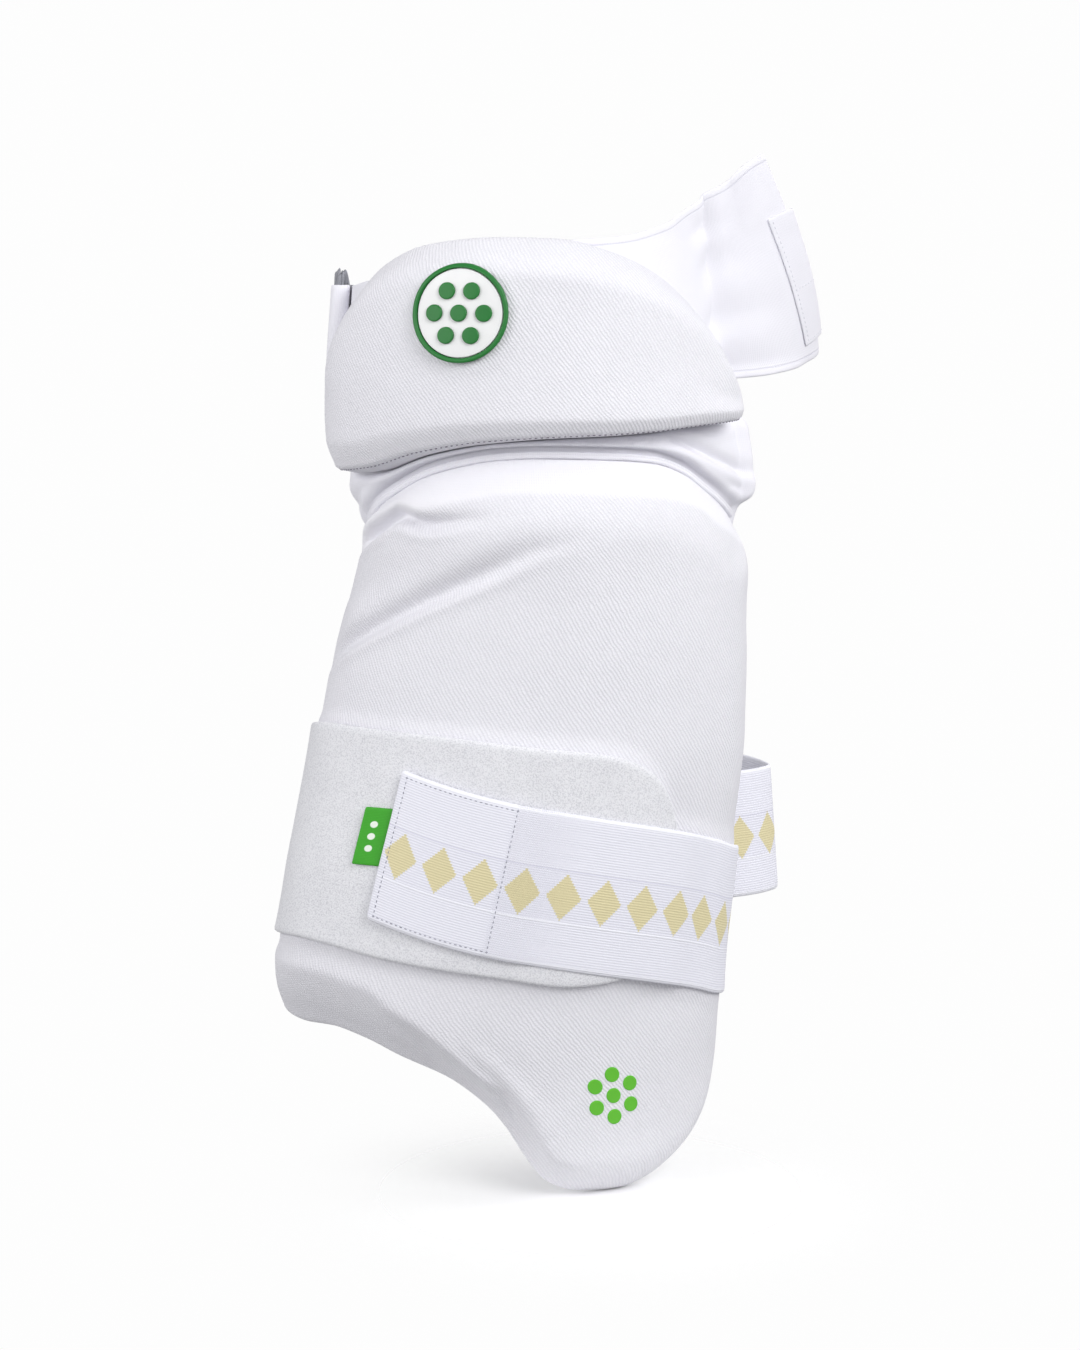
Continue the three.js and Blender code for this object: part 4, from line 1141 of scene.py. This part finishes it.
def makePanel():
    rows = panel["tuckRows"] * 2 + panel["looseRows"]
    across, down = gridOf(panel["columns"], rows)
    angle = blendOf(-panel["reach"], panel["reach"], across)
    edgeAngle = np.clip(angle, -leg["wrapAngle"], leg["wrapAngle"])
    upper = hipFootEdge(edgeAngle) - panel["start"]
    room = piping["room"] + 4 * reliefGap
    lower = thighTopEdge(edgeAngle) + room * steepness(thighTopEdge, edgeAngle)
    loose = (down * rows - panel["tuckRows"]) / panel["looseRows"]
    inside = np.clip(loose, 0, 1)
    tuck = panel["looseRows"] / panel["tuckRows"] * leg["length"]
    height = blendOf(upper, lower, inside) + np.maximum(-loose, 0) * tuck * panel["tuckUp"]
    height = height - np.maximum(loose - 1, 0) * tuck * panel["tuckDown"]
    full = smoothStep(angle, *panel["squareFrom"])
    ledge = crowned(inside, panel["ledge"], 0) * blendOf(panel["ledgeTop"], 1, inside)
    ledge = ledge * (1 - smoothStep(inside, panel["ledgeEnd"], 1))
    swell = blendOf(np.sin(np.pi * inside**0.9), ledge, full)
    sideways = smoothStep(np.abs(angle), 50, panel["reach"])
    bulge = np.where(angle > 0, panel["rightBulge"], panel["leftBulge"]) * sideways
    bulge = bulge + panel["middleBulge"] * (1 - sideways)
    folds = -sum(foldDepth(fold, angle, height) for fold in panelFolds)
    gathers = panel["gather"] * np.sin(angle * 2.3 + 1.5 * np.sin(angle * 0.7)) * np.exp(-inside * 3)
    lift = -reliefGap - panel["thickness"] / 2 + swell * (bulge + folds + gathers)
    beside = smoothStep(angle, *panel["besideFrom"])
    beside = beside * (1 - smoothStep(loose, 0.7, 1.3)) * smoothStep(loose, -0.2, -0.02)
    lift = lift + beside * panel["besidePad"]
    points = pointOnLeg(angle, height, lift)
    makeSheet("stretchPanel", points, panel["thickness"], placesOnLeg(angle, height), ["jersey"],
              "jersey", "stretch_panel")


makePanel()
print("panel made")

# The loop-pile wrap.
padEdgeLift = thighPad["thickness"] * thighPad["sideShare"]


def thighSurfaceLift(angle, height):
    inside = np.clip(angle, -leg["wrapAngle"], leg["wrapAngle"])
    past = smoothStep(np.abs(angle), leg["wrapAngle"], leg["wrapAngle"] + 30)
    return np.where(np.abs(angle) <= leg["wrapAngle"], thighLift(inside, height), padEdgeLift * (1 - past))


def wrapMiddleLift(angle, height):
    onPad = thighSurfaceLift(angle, height) + reliefGap + wrap["thickness"] / 2
    return np.maximum(onPad, wrap["backLift"])


def makeWrap():
    across, down = gridOf(wrap["columns"], wrap["rows"])
    angle = blendOf(wrap["angle"][0], wrap["angle"][-1], across)
    height = blendOf(wrapTopAt(angle), wrapFootAt(angle), down) * leg["length"]
    lift = wrapMiddleLift(angle, height)
    points = pointOnLeg(angle, height, lift)
    wavy = roughen(points.reshape(-1, 3), 0.03, 0.0007).reshape(angle.shape)
    points = points + outwardAt(angle, height) * (np.maximum(wavy, -0.0001))[..., None]
    makeSheet("loopWrap", points, wrap["thickness"], placesOnLeg(angle, height), ["loopPile"],
              "loop_pile", "loop_wrap")


makeWrap()


def wrapOuterLift(angle, height):
    return wrapMiddleLift(angle, height) + wrap["thickness"] / 2


def strapFaceLift(angle, height):
    patchEnd = frontStrap["from"] + hookPatch["span"]
    pastPatch = smoothStep(angle, patchEnd + 2, patchEnd + 10)
    pastWrap = smoothStep(angle, wrap["angle"][-1] + 2, wrap["angle"][-1] + 11)
    onPad = thighSurfaceLift(angle, height) + reliefGap
    onWrap = (wrap["thickness"] + clearance) * (1 - pastWrap)
    onPatch = (hookPatch["thickness"] + clearance) * (1 - pastPatch)
    return onPad + onWrap + onPatch + frontStrap["thickness"] / 2


def makeFrontStrap():
    down = np.linspace(0, 1, frontStrap["rows"] + 1)[None, :]
    share = np.linspace(0, 1, frontStrap["columns"] + 1)[:, None]
    start = frontStrap["from"] + frontStrap["lean"] * (0.5 - down)
    angle = blendOf(start, frontStrap["turnsFrom"], share)
    height = strapHeight(angle, down, frontStrap["width"])
    face = pointOnLeg(angle, height, strapFaceLift(angle, height))
    order = np.arange(len(frontStrap["turnAngle"]))
    step = np.linspace(0, order[-1], frontStrap["turnColumns"] + 1)[1:, None]
    reach = curveThrough(order, frontStrap["turnReach"])(step)
    slack = frontStrap["turnSlack"] * (1 - down) * np.clip(reach, 0, 0.6)
    slack = slack * smoothStep(step, 0, 1.5)
    turned = curveThrough(order, frontStrap["turnAngle"])(step) + slack
    height = strapHeight(np.full_like(step, leg["wrapAngle"]), down, frontStrap["width"])
    turn = pointOnLeg(turned, height, reach * (padEdgeLift + frontStrap["thickness"]) + 0 * down)
    points = np.concatenate([face, turn])
    places = placesAlong(points, down * frontStrap["width"])
    makeSheet("frontStrap", points, frontStrap["thickness"], places, ["frontElastic"],
              "elastic", "front_strap")


makeFrontStrap()


def strapLine(angles, downs):  # points on the strap's outer face
    height = strapHeight(angles, downs, frontStrap["width"])
    return pointOnLeg(angles, height, strapFaceLift(angles, height) + frontStrap["thickness"] / 2)


def makeStrapStitches():
    inset = 0.0032 / metresPerDegree
    edge = 0.04  # share of the width from the strap's edge to the line
    count = 40
    left = lambda down: frontStrap["from"] + inset + frontStrap["lean"] * (0.5 - down)
    right = lambda down: frontStrap["from"] + hookPatch["span"] - 0.4 + 2.2 * (0.5 - down)
    rows = []
    for down in (edge, 1 - edge):
        rows.append(strapLine(np.linspace(left(down), right(down), count), np.full(count, down)))
    downs = np.linspace(edge, 1 - edge, count)
    rows += [strapLine(left(downs), downs), strapLine(right(downs), downs)]
    stitchRows("strapStitches", rows, "darkThread", length=0.0016, spacing=0.0026, thickness=0.0006)


makeStrapStitches()


def makeHookPatch():
    across, down = gridOf(30, 12)
    start = frontStrap["from"] + hookPatch["inset"] / metresPerDegree + frontStrap["lean"] * (0.5 - down)
    angle = blendOf(start, frontStrap["from"] + hookPatch["span"], across)
    height = strapHeight(angle, down, frontStrap["width"] - 2 * hookPatch["inset"])
    lift = wrapOuterLift(angle, height) + clearance + hookPatch["thickness"] / 2
    points = pointOnLeg(angle, height, lift)
    places = placesAlong(points, down * frontStrap["width"])
    makeSheet("hookPatch", points, hookPatch["thickness"], places, ["hookTape"],
              "hook_tape", "hook_patch")


makeHookPatch()


def makeLabel():
    across, down = gridOf(10, 16)
    height = label["level"] * leg["length"] + (0.5 - down) * label["width"]
    above = height - strapLevelAt(frontStrap["from"]) * leg["length"]
    edge = frontStrap["from"] + frontStrap["lean"] * above / frontStrap["width"]
    angle = edge - clearance / metresPerDegree - label["degrees"] * (1 - across)
    curl = label["curl"] * (1 - across) ** 2
    lift = wrapOuterLift(angle, height) + clearance + label["thickness"] / 2 + curl
    points = pointOnLeg(angle, height, lift)
    places = stack(across * label["span"], down * label["width"], 0)[..., :2]
    makeSheet("labelTab", points, label["thickness"], places, ["label"],
              "label", "label_tab")


makeLabel()

backStrap = {
    "angle": [62, 80, 84, 88.5, 94, 100, 112, 132, 158, 184, 202],
    "level": [-0.009, -0.008, -0.007, -0.006, -0.006, -0.006, -0.006, -0.006, -0.006, -0.006, -0.006],
    "lift": [-0.0215, -0.0215, -0.006, 0.055, 0.125, 0.172, 0.168, 0.12, 0.062, 0.033, 0.033],
    "width": webbing["back"],
    "thickness": 0.0018,
    "flare": 0.005,
    "leaves": (76, 90),  # it stands off the leg between these angles
    "meets": (150, 175),  # and those
    "columns": 110,
    "rows": 14,
}


def makeBackStrap():
    across, down = gridOf(backStrap["columns"], backStrap["rows"])
    angle = blendOf(backStrap["angle"][0], backStrap["angle"][-1], across)
    middle = curveThrough(backStrap["angle"], backStrap["level"])(angle) * leg["length"]
    height = middle + (0.5 - down) * backStrap["width"]
    free = smoothStep(angle, *backStrap["leaves"]) * (1 - smoothStep(angle, *backStrap["meets"]))
    lift = curveThrough(backStrap["angle"], backStrap["lift"])(angle) * leg["hollowWidth"]
    lift = lift + free * backStrap["flare"] * (down - 0.5)
    points = pointOnLeg(angle, blendOf(height, middle, free), lift)
    points[..., 2] = height
    places = placesAlong(points, down * backStrap["width"])
    makeSheet("backStrap", points, backStrap["thickness"], places, ["backElastic"],
              "elastic", "back_strap")


makeBackStrap()
print("wrap and straps made")

belt = {
    "angle": [-40, 0, 30, 52, 66, 75, 80, 87, 102],
    "level": [0.573, 0.575, 0.577, 0.586, 0.597, 0.603, 0.608, 0.616, 0.643],
    "width": [0.15, 0.158, 0.166, 0.178, 0.191, 0.2, 0.207, 0.214, 0.225],
    "lift": [0, 0, 0, 0, 0, 0, 0.046, 0.12, 0.278],
    "thickness": 0.0016,
    "to": 99,
    "flareFrom": 74,
    "flare": 0.45,
    "tuckedColumns": 40,
    "freeColumns": 60,
    "comesFree": 58,
    "rows": 34,
    "hem": beltHemWidth,
    "loosens": (60, 72),  # its folds grow between these angles
    "ripple": 0.0005,
}
beltAt = {name: curveThrough(belt["angle"], belt[name]) for name in ("level", "width", "lift")}
beltFolds = tableOf(foldColumns, [
    ([(64, 0.513), (76, 0.514), (86, 0.520), (94, 0.530)],
     0.0060, 0.0034, 0.0036, 0.0012, 0.0010, (0.05, 0.6)),
    ([(62, 0.548), (76, 0.568), (94, 0.592)],
     0.0060, 0.0050, 0.0013, 0.0008, 0.0006, (0.3, 0.6)),
    ([(50, 0.652), (64, 0.662), (76, 0.672), (88, 0.684)],
     0.0050, 0.0042, 0.0018, 0.0008, 0.0006, (0.4, 0.5)),
    ([(64, 0.612), (80, 0.634), (94, 0.656)],
     0.0070, 0.0060, 0.0011, 0.0006, 0.0006, (0.3, 0.6)),
])


def pointOnBelt(angle, up, off=0.0):  # up from its middle line, square to it
    rise = (beltAt["level"](angle + 1) - beltAt["level"](angle - 1)) * leg["length"]
    slope = rise / (2 * metresPerDegree)
    flare = belt["flare"] * smoothStep(angle, belt["flareFrom"], belt["to"])
    middle = -reliefGap - belt["thickness"] / 2
    return pointOnLeg(
        angle - up * slope / metresPerDegree,
        beltAt["level"](angle) * leg["length"] + up,
        middle + beltAt["lift"](angle) * leg["hollowWidth"] - up * flare + off,
    )


def foldsOfBelt(angle, up):
    level = beltAt["level"](angle) + up / leg["length"]
    return -sum(foldDepth(fold, angle, level * leg["length"]) for fold in beltFolds)


def makeBelt():
    columns = belt["tuckedColumns"] + belt["freeColumns"]
    across, down = gridOf(columns, belt["rows"])
    column = across * columns
    tucked = blendOf(belt["angle"][0], belt["comesFree"], np.minimum(column / belt["tuckedColumns"], 1))
    free = np.maximum(column - belt["tuckedColumns"], 0) / belt["freeColumns"]
    angle = blendOf(tucked, belt["to"], free)
    width = beltAt["width"](angle) * leg["length"]
    up = (0.5 - down) * width
    loose = smoothStep(angle, *belt["loosens"])
    ripple = belt["ripple"] * np.sin(angle * 0.9 + down * 9) * np.exp(-((1 - down) * 7)) * loose
    points = pointOnBelt(angle, up, (foldsOfBelt(angle, up) + ripple) * loose)
    places = placesAlong(points, width / 2 - np.abs(up))  # in from the nearer edge
    makeSheet("waistBelt", points, belt["thickness"], places, ["beltJersey"],
              "jersey", "waist_belt")


makeBelt()


def makeBeltHem():
    angle = np.linspace(belt["loosens"][0], belt["to"] - 1.5, 90)
    up = belt["hem"] - beltAt["width"](angle) * leg["length"] / 2
    folds = foldsOfBelt(angle, up) * smoothStep(angle, *belt["loosens"])
    points = pointOnBelt(angle, up, folds + belt["thickness"] / 2 + 0.0001)
    stitchRows("beltHem", [points], slot="jersey", length=0.0018, spacing=0.0028, thickness=0.0005)


makeBeltHem()

beltTab = {
    "width": 0.024,
    "height": 0.068,
    "thickness": 0.0009,
    "overhang": 0.004,
    "drop": 0.0095,
    "seams": (0.14, 0.56, 0.965),  # shares of its width, then of its height
}


def pointOnTab(across, down, off):  # across and down as shares of the tab
    end, before = np.array(belt["to"]), np.array(belt["to"] - 1.0)
    forward = np.linalg.norm(pointOnBelt(end, 0) - pointOnBelt(before, 0))
    angle = belt["to"] + (beltTab["overhang"] - (1 - across) * beltTab["width"]) / forward
    up = (0.5 - down) * beltTab["height"] - beltTab["drop"]
    along = pointOnBelt(angle, up) - pointOnBelt(angle - 1, up)
    upward = pointOnBelt(angle, up + 0.001) - pointOnBelt(angle, up)
    outward = unit(np.cross(along, upward))
    gap = clearance * blendOf(0.15, 0.8, across)
    standoff = (belt["thickness"] + beltTab["thickness"]) / 2 + gap
    return pointOnBelt(angle, up) + outward * (standoff + off)[..., None]


def makeBeltTab():
    across, down = gridOf(16, 34)
    points = pointOnTab(across, down, 0)
    places = stack(across * beltTab["width"], down * beltTab["height"], 0)[..., :2]
    makeSheet("beltHookTab", points, beltTab["thickness"], places, ["jersey"],
              "hook_tape", "belt_hook_tab")
    left, middle, foot = beltTab["seams"]
    off = beltTab["thickness"] / 2
    rows = [pointOnTab(np.full(30, left), np.linspace(0.04, 0.96, 30), off)]
    for height in (middle, foot):
        rows.append(pointOnTab(np.linspace(left, 0.97, 12), np.full(12, height), off))
    stitchRows("tabStitches", rows, "thread", slot="hook_tape", length=0.0018, thickness=0.0005)


makeBeltTab()

backBelt = {
    "level": 0.543,
    "from": -52,
    "to": -86,
    "height": 0.068,
    "flatColumns": 16,
    "rollColumns": 60,
    "rows": 24,
    "sag": 0.0035,  # of its upper edge
    "turns": 1.85,
    "pitch": 0.0026,
    "diameter": 0.014,
    "peak": 0.0060,  # how far the crumpled inside stands over the rim
}


def makeBackBelt():
    total = backBelt["flatColumns"] + backBelt["rollColumns"]
    radius = (backBelt["diameter"] - belt["thickness"]) / 2
    across, down = gridOf(total, backBelt["rows"])
    column = across * total
    height = backBelt["level"] * leg["length"] + (0.5 - down) * backBelt["height"]
    share = np.minimum(column / backBelt["flatColumns"], 1)
    angle = blendOf(backBelt["from"], backBelt["to"], share)
    flat = pointOnLeg(angle, height, -reliefGap - belt["thickness"] / 2 + 0 * height)
    turned = np.maximum(column - backBelt["flatColumns"], 0) / backBelt["rollColumns"] * backBelt["turns"]
    inner = smoothStep(turned, 1.0, 1.15) * smoothStep(down, 0.6, 0)
    size = radius - turned * backBelt["pitch"]
    size = size + 0.0011 * np.sin(turned * 31 + down * 9) * inner
    around = 2 * np.pi * turned
    roll = flat + stack(size * np.cos(around) - radius, size * np.sin(around), 0)
    points = np.where((column > backBelt["flatColumns"])[..., None], roll, flat)
    dip = backBelt["sag"] * smoothStep(share, 0.1, 0.9) * smoothStep(down, 0.5, 0)
    peak = backBelt["peak"] * inner * (0.5 + 0.3 * np.sin(turned * 17 + 0.6) + 0.2 * np.sin(turned * 41))
    points[..., 2] += peak - dip * (1 - inner)
    points = points[::-1]
    places = placesAlong(points, down * backBelt["height"])
    # The roll's inner turns take the grey jersey, as painted shade inside the roll.
    innerFaces = (turned[::-1][:-1, :-1] > 1.0).astype(np.int32).ravel()
    makeSheet("backBelt", points, belt["thickness"], places, ["jersey", "rollShadeJersey"],
              "jersey", "back_belt", innerFaces)


makeBackBelt()
print("belts made")

# The badge, its rim and its studs, and the printed dots, turned from short profiles and laid on
# the covers.


def turnedPiece(name, centres, profile, sides, placeOf, finish):
    points = []
    faces = []
    around = np.linspace(0, 2 * np.pi, sides, endpoint=False)
    closed = profile[0][0] > 0
    for right, up in centres:
        rings = []
        for radius, off in profile:
            if radius == 0:
                rings.append([len(points)])
                points.append((right, up, off))
                continue
            rings.append(list(range(len(points), len(points) + sides)))
            points.extend((right + radius * math.cos(t), up + radius * math.sin(t), off) for t in around)
        for a, b in zip(rings, rings[1:] + rings[:1] if closed else rings[1:]):
            for k in range(sides):
                after = (k + 1) % sides
                corners = [a[k % len(a)], b[k % len(b)], b[after % len(b)], a[after % len(a)]]
                faces.append(list(dict.fromkeys(corners)))
    flat = np.array(points)
    placed = placeOf(flat[:, 0], flat[:, 1], flat[:, 2])
    return meshPiece(name, placed, faces, flat[:, :2], [finish])


hipSurface = surfaceOf(hipCover)
thighSurface = surfaceOf(thighCover)


def layOnPad(surface, liftAt, angle, height, off):
    points = pointOnLeg(angle, height, liftAt(angle, height))
    return layOn(surface, points, outwardAt(angle, height), off)


def spotsRound(spacing, count, start=0.0):  # one in the middle and the others round it
    turn = [start + 2 * math.pi * k / count for k in range(count)]
    return [(0, 0)] + [(spacing * math.cos(t), spacing * math.sin(t)) for t in turn]


def placeOnHip(right, up, off):
    angle = badge["angle"] + right / badgePerDegree
    return layOnPad(hipSurface, hipLift, angle, badge["level"] * leg["length"] + up, off)


def rounded(radius, low, high, edge, steps=4):  # a disc's profile from its top's middle to its foot's
    turn = [math.pi / 2 * k / steps for k in range(steps + 1)]
    corner = [(radius - edge + edge * math.sin(t), high - edge + edge * math.cos(t)) for t in turn]
    return [(0, high), (radius * 0.35, high), (radius * 0.7, high), *corner, (radius, low), (0, low)]


def makeBadge():
    gap = reliefGap
    outside = badge["diameter"] / 2
    inside = outside - badge["rimWidth"]
    top = gap + badge["thickness"]
    disc = rounded(inside - clearance, gap, top, 0.0004)
    piece = turnedPiece("badgeDisc", [(0, 0)], disc, 72, placeOnHip, materials["whiteRubber"])
    dress(piece, "white_rubber", "badge_base")
    high = gap + badge["rimHeight"]
    edge = 0.0007
    rim = [(inside, gap), (inside, high - edge), (inside + 0.3 * edge, high - 0.3 * edge),
           (inside + edge, high), (outside - edge, high), (outside - 0.3 * edge, high - 0.3 * edge),
           (outside, high - edge), (outside, gap)]
    piece = turnedPiece("badgeRim", [(0, 0)], rim, 96, placeOnHip, materials["greenRubber"])
    dress(piece, "green_rubber", "badge_rim")
    centres = spotsRound(badge["spacing"], badge["around"])
    start = top + clearance * 0.3
    stud = rounded(badge["stud"] / 2, start, start + badge["studHeight"], 0.0006)
    piece = turnedPiece("badgeStuds", centres, stud, 40, placeOnHip, materials["greenRubber"])
    studs = [f"badge_stud_{k}" for k in range(badge["around"] + 1)]
    dress(piece, "green_rubber", *studs)


makeBadge()

printed = {
    "angle": 27.5,
    "height": -0.121,
    "around": 6,
    "dot": 0.0082,
    "spacing": 0.0115,
    "thickness": 0.0004,
    "padShare": 1.22,  # the pad's girth as a share of the leg's
}


def placeOnThigh(right, up, off):
    angle = printed["angle"] + right / (metresPerDegree * printed["padShare"])
    return layOnPad(thighSurface, thighLift, angle, printed["height"] + up, off)


def makePrint():
    centres = spotsRound(printed["spacing"], printed["around"], math.pi / 6)
    dot = rounded(printed["dot"] / 2, -printed["thickness"], printed["thickness"], 0.0003, 3)
    piece = turnedPiece("printedDots", centres, dot, 40, placeOnThigh, materials["greenPrint"])
    dress(piece, "green_rubber")


makePrint()


hipSeam = {"from": -70, "to": 72, "up": 0.0017, "length": 0.0015, "spacing": 0.0029, "thickness": 0.0009}


def makeHipSeam():  # stitches along the foot of the hip pad's bevel
    angle = np.linspace(hipSeam["from"], hipSeam["to"], 160)
    height = hipFootEdge(angle) + hipSeam["up"]
    points = layOnPad(hipSurface, hipLift, angle, height, 0.0001 + 0 * angle)
    sizes = {name: hipSeam[name] for name in stitch}
    stitchRows("hipSeam", [points], "seamThread", slot="pad_cloth", **sizes)


makeHipSeam()
print("badge and stitching made")

# Floor, light and camera.
floor = {"middle": (0.03, -0.07), "radius": 0.22, "fadeFrom": 0.01, "colour": colour(252, 252, 252)}


def makeFloor():
    low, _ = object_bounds()
    finish = Finish("floor")
    u, v = finish.place()
    away = finish.maths("SQRT", u * u + v * v)
    fade = finish.step(away, floor["radius"] * 0.97, floor["fadeFrom"])
    fade = fade * fade
    matte = {"Roughness": 0.9, "Specular IOR Level": 0.1}
    material = finish.finished({**matte, "Base Color": floor["colour"], "Alpha": fade})
    turn = np.linspace(0, 2 * np.pi, 96, endpoint=False)
    flat = floor["radius"] * np.stack([np.cos(turn), np.sin(turn)], axis=-1)
    points = stack(flat[:, 0] + floor["middle"][0], flat[:, 1] + floor["middle"][1], low.z - 0.0003)
    meshPiece("floor", points, [list(range(96))], flat, [material])


makeFloor()

lights = [
    {"name": "key", "at": (0.9, -1.5, 1.1), "size": 1.0, "power": 19.8},
    {"name": "fill", "at": (-1.4, -1.4, 0.6), "size": 1.2, "power": 12},
    {"name": "right", "at": (1.5, -0.3, 1.0), "size": 1.2, "power": 10.5},
    {"name": "left", "at": (-1.6, -0.3, 0.6), "size": 1.2, "power": 6.5},
    {"name": "top", "at": (0.2, -0.1, 1.7), "size": 1.2, "power": 0.7},
    {"name": "back", "at": (0.4, 1.7, 0.9), "size": 1.2, "power": 8},
]
# The soft light all round. Its strength grows from under to over.
sky = {"above": 0.465, "below": 0.35, "colour": (0.98, 0.985, 1.0, 1), "backdrop": (0.985, 0.985, 0.985, 1)}


def makeLights():
    aim = Vector((0, 0, 0.08))
    for light in lights:
        data = bpy.data.lights.new(light["name"], "AREA")
        data.shape = "DISK"
        data.size = light["size"]
        data.energy = light["power"]
        lamp = addObject(light["name"], data)
        lamp.location = light["at"]
        lamp.rotation_euler = (aim - lamp.location).to_track_quat("-Z", "Y").to_euler()


def makeSky():
    world = bpy.data.worlds.new("studio")
    bpy.context.scene.world = world
    tree = Nodes(world)
    seenDirectly = tree.node("LightPath", {}, {}, "Is Camera Ray")
    direction = tree.node("TexCoord", {}, {}, "Generated")
    up = tree.node("SeparateXYZ", {}, {"Vector": direction}, "Z")
    ends = {"From Min": -0.6, "From Max": 0.8, "To Min": sky["below"], "To Max": sky["above"]}
    strength = tree.node("MapRange", {}, {"Value": up, **ends})
    around = tree.node("Background", {}, {"Color": sky["colour"], "Strength": strength})
    seen = tree.node("Background", {}, {"Color": sky["backdrop"]})
    tree.output("World", tree.node("MixShader", {}, {0: seenDirectly, 1: around, 2: seen}))
    bpy.context.scene.view_settings.view_transform = "Standard"


makeLights()
makeSky()

view = {"at": (0.00378, -1.6918, 0.3211), "tilt": 82, "lens": 85}


def makeCamera():
    data = bpy.data.cameras.new("camera")
    data.lens = view["lens"]
    data.sensor_width = 36
    camera = addObject("camera", data)
    camera.location = view["at"]
    camera.rotation_euler = (math.radians(view["tilt"]), 0, 0)
    bpy.context.scene.camera = camera


makeCamera()
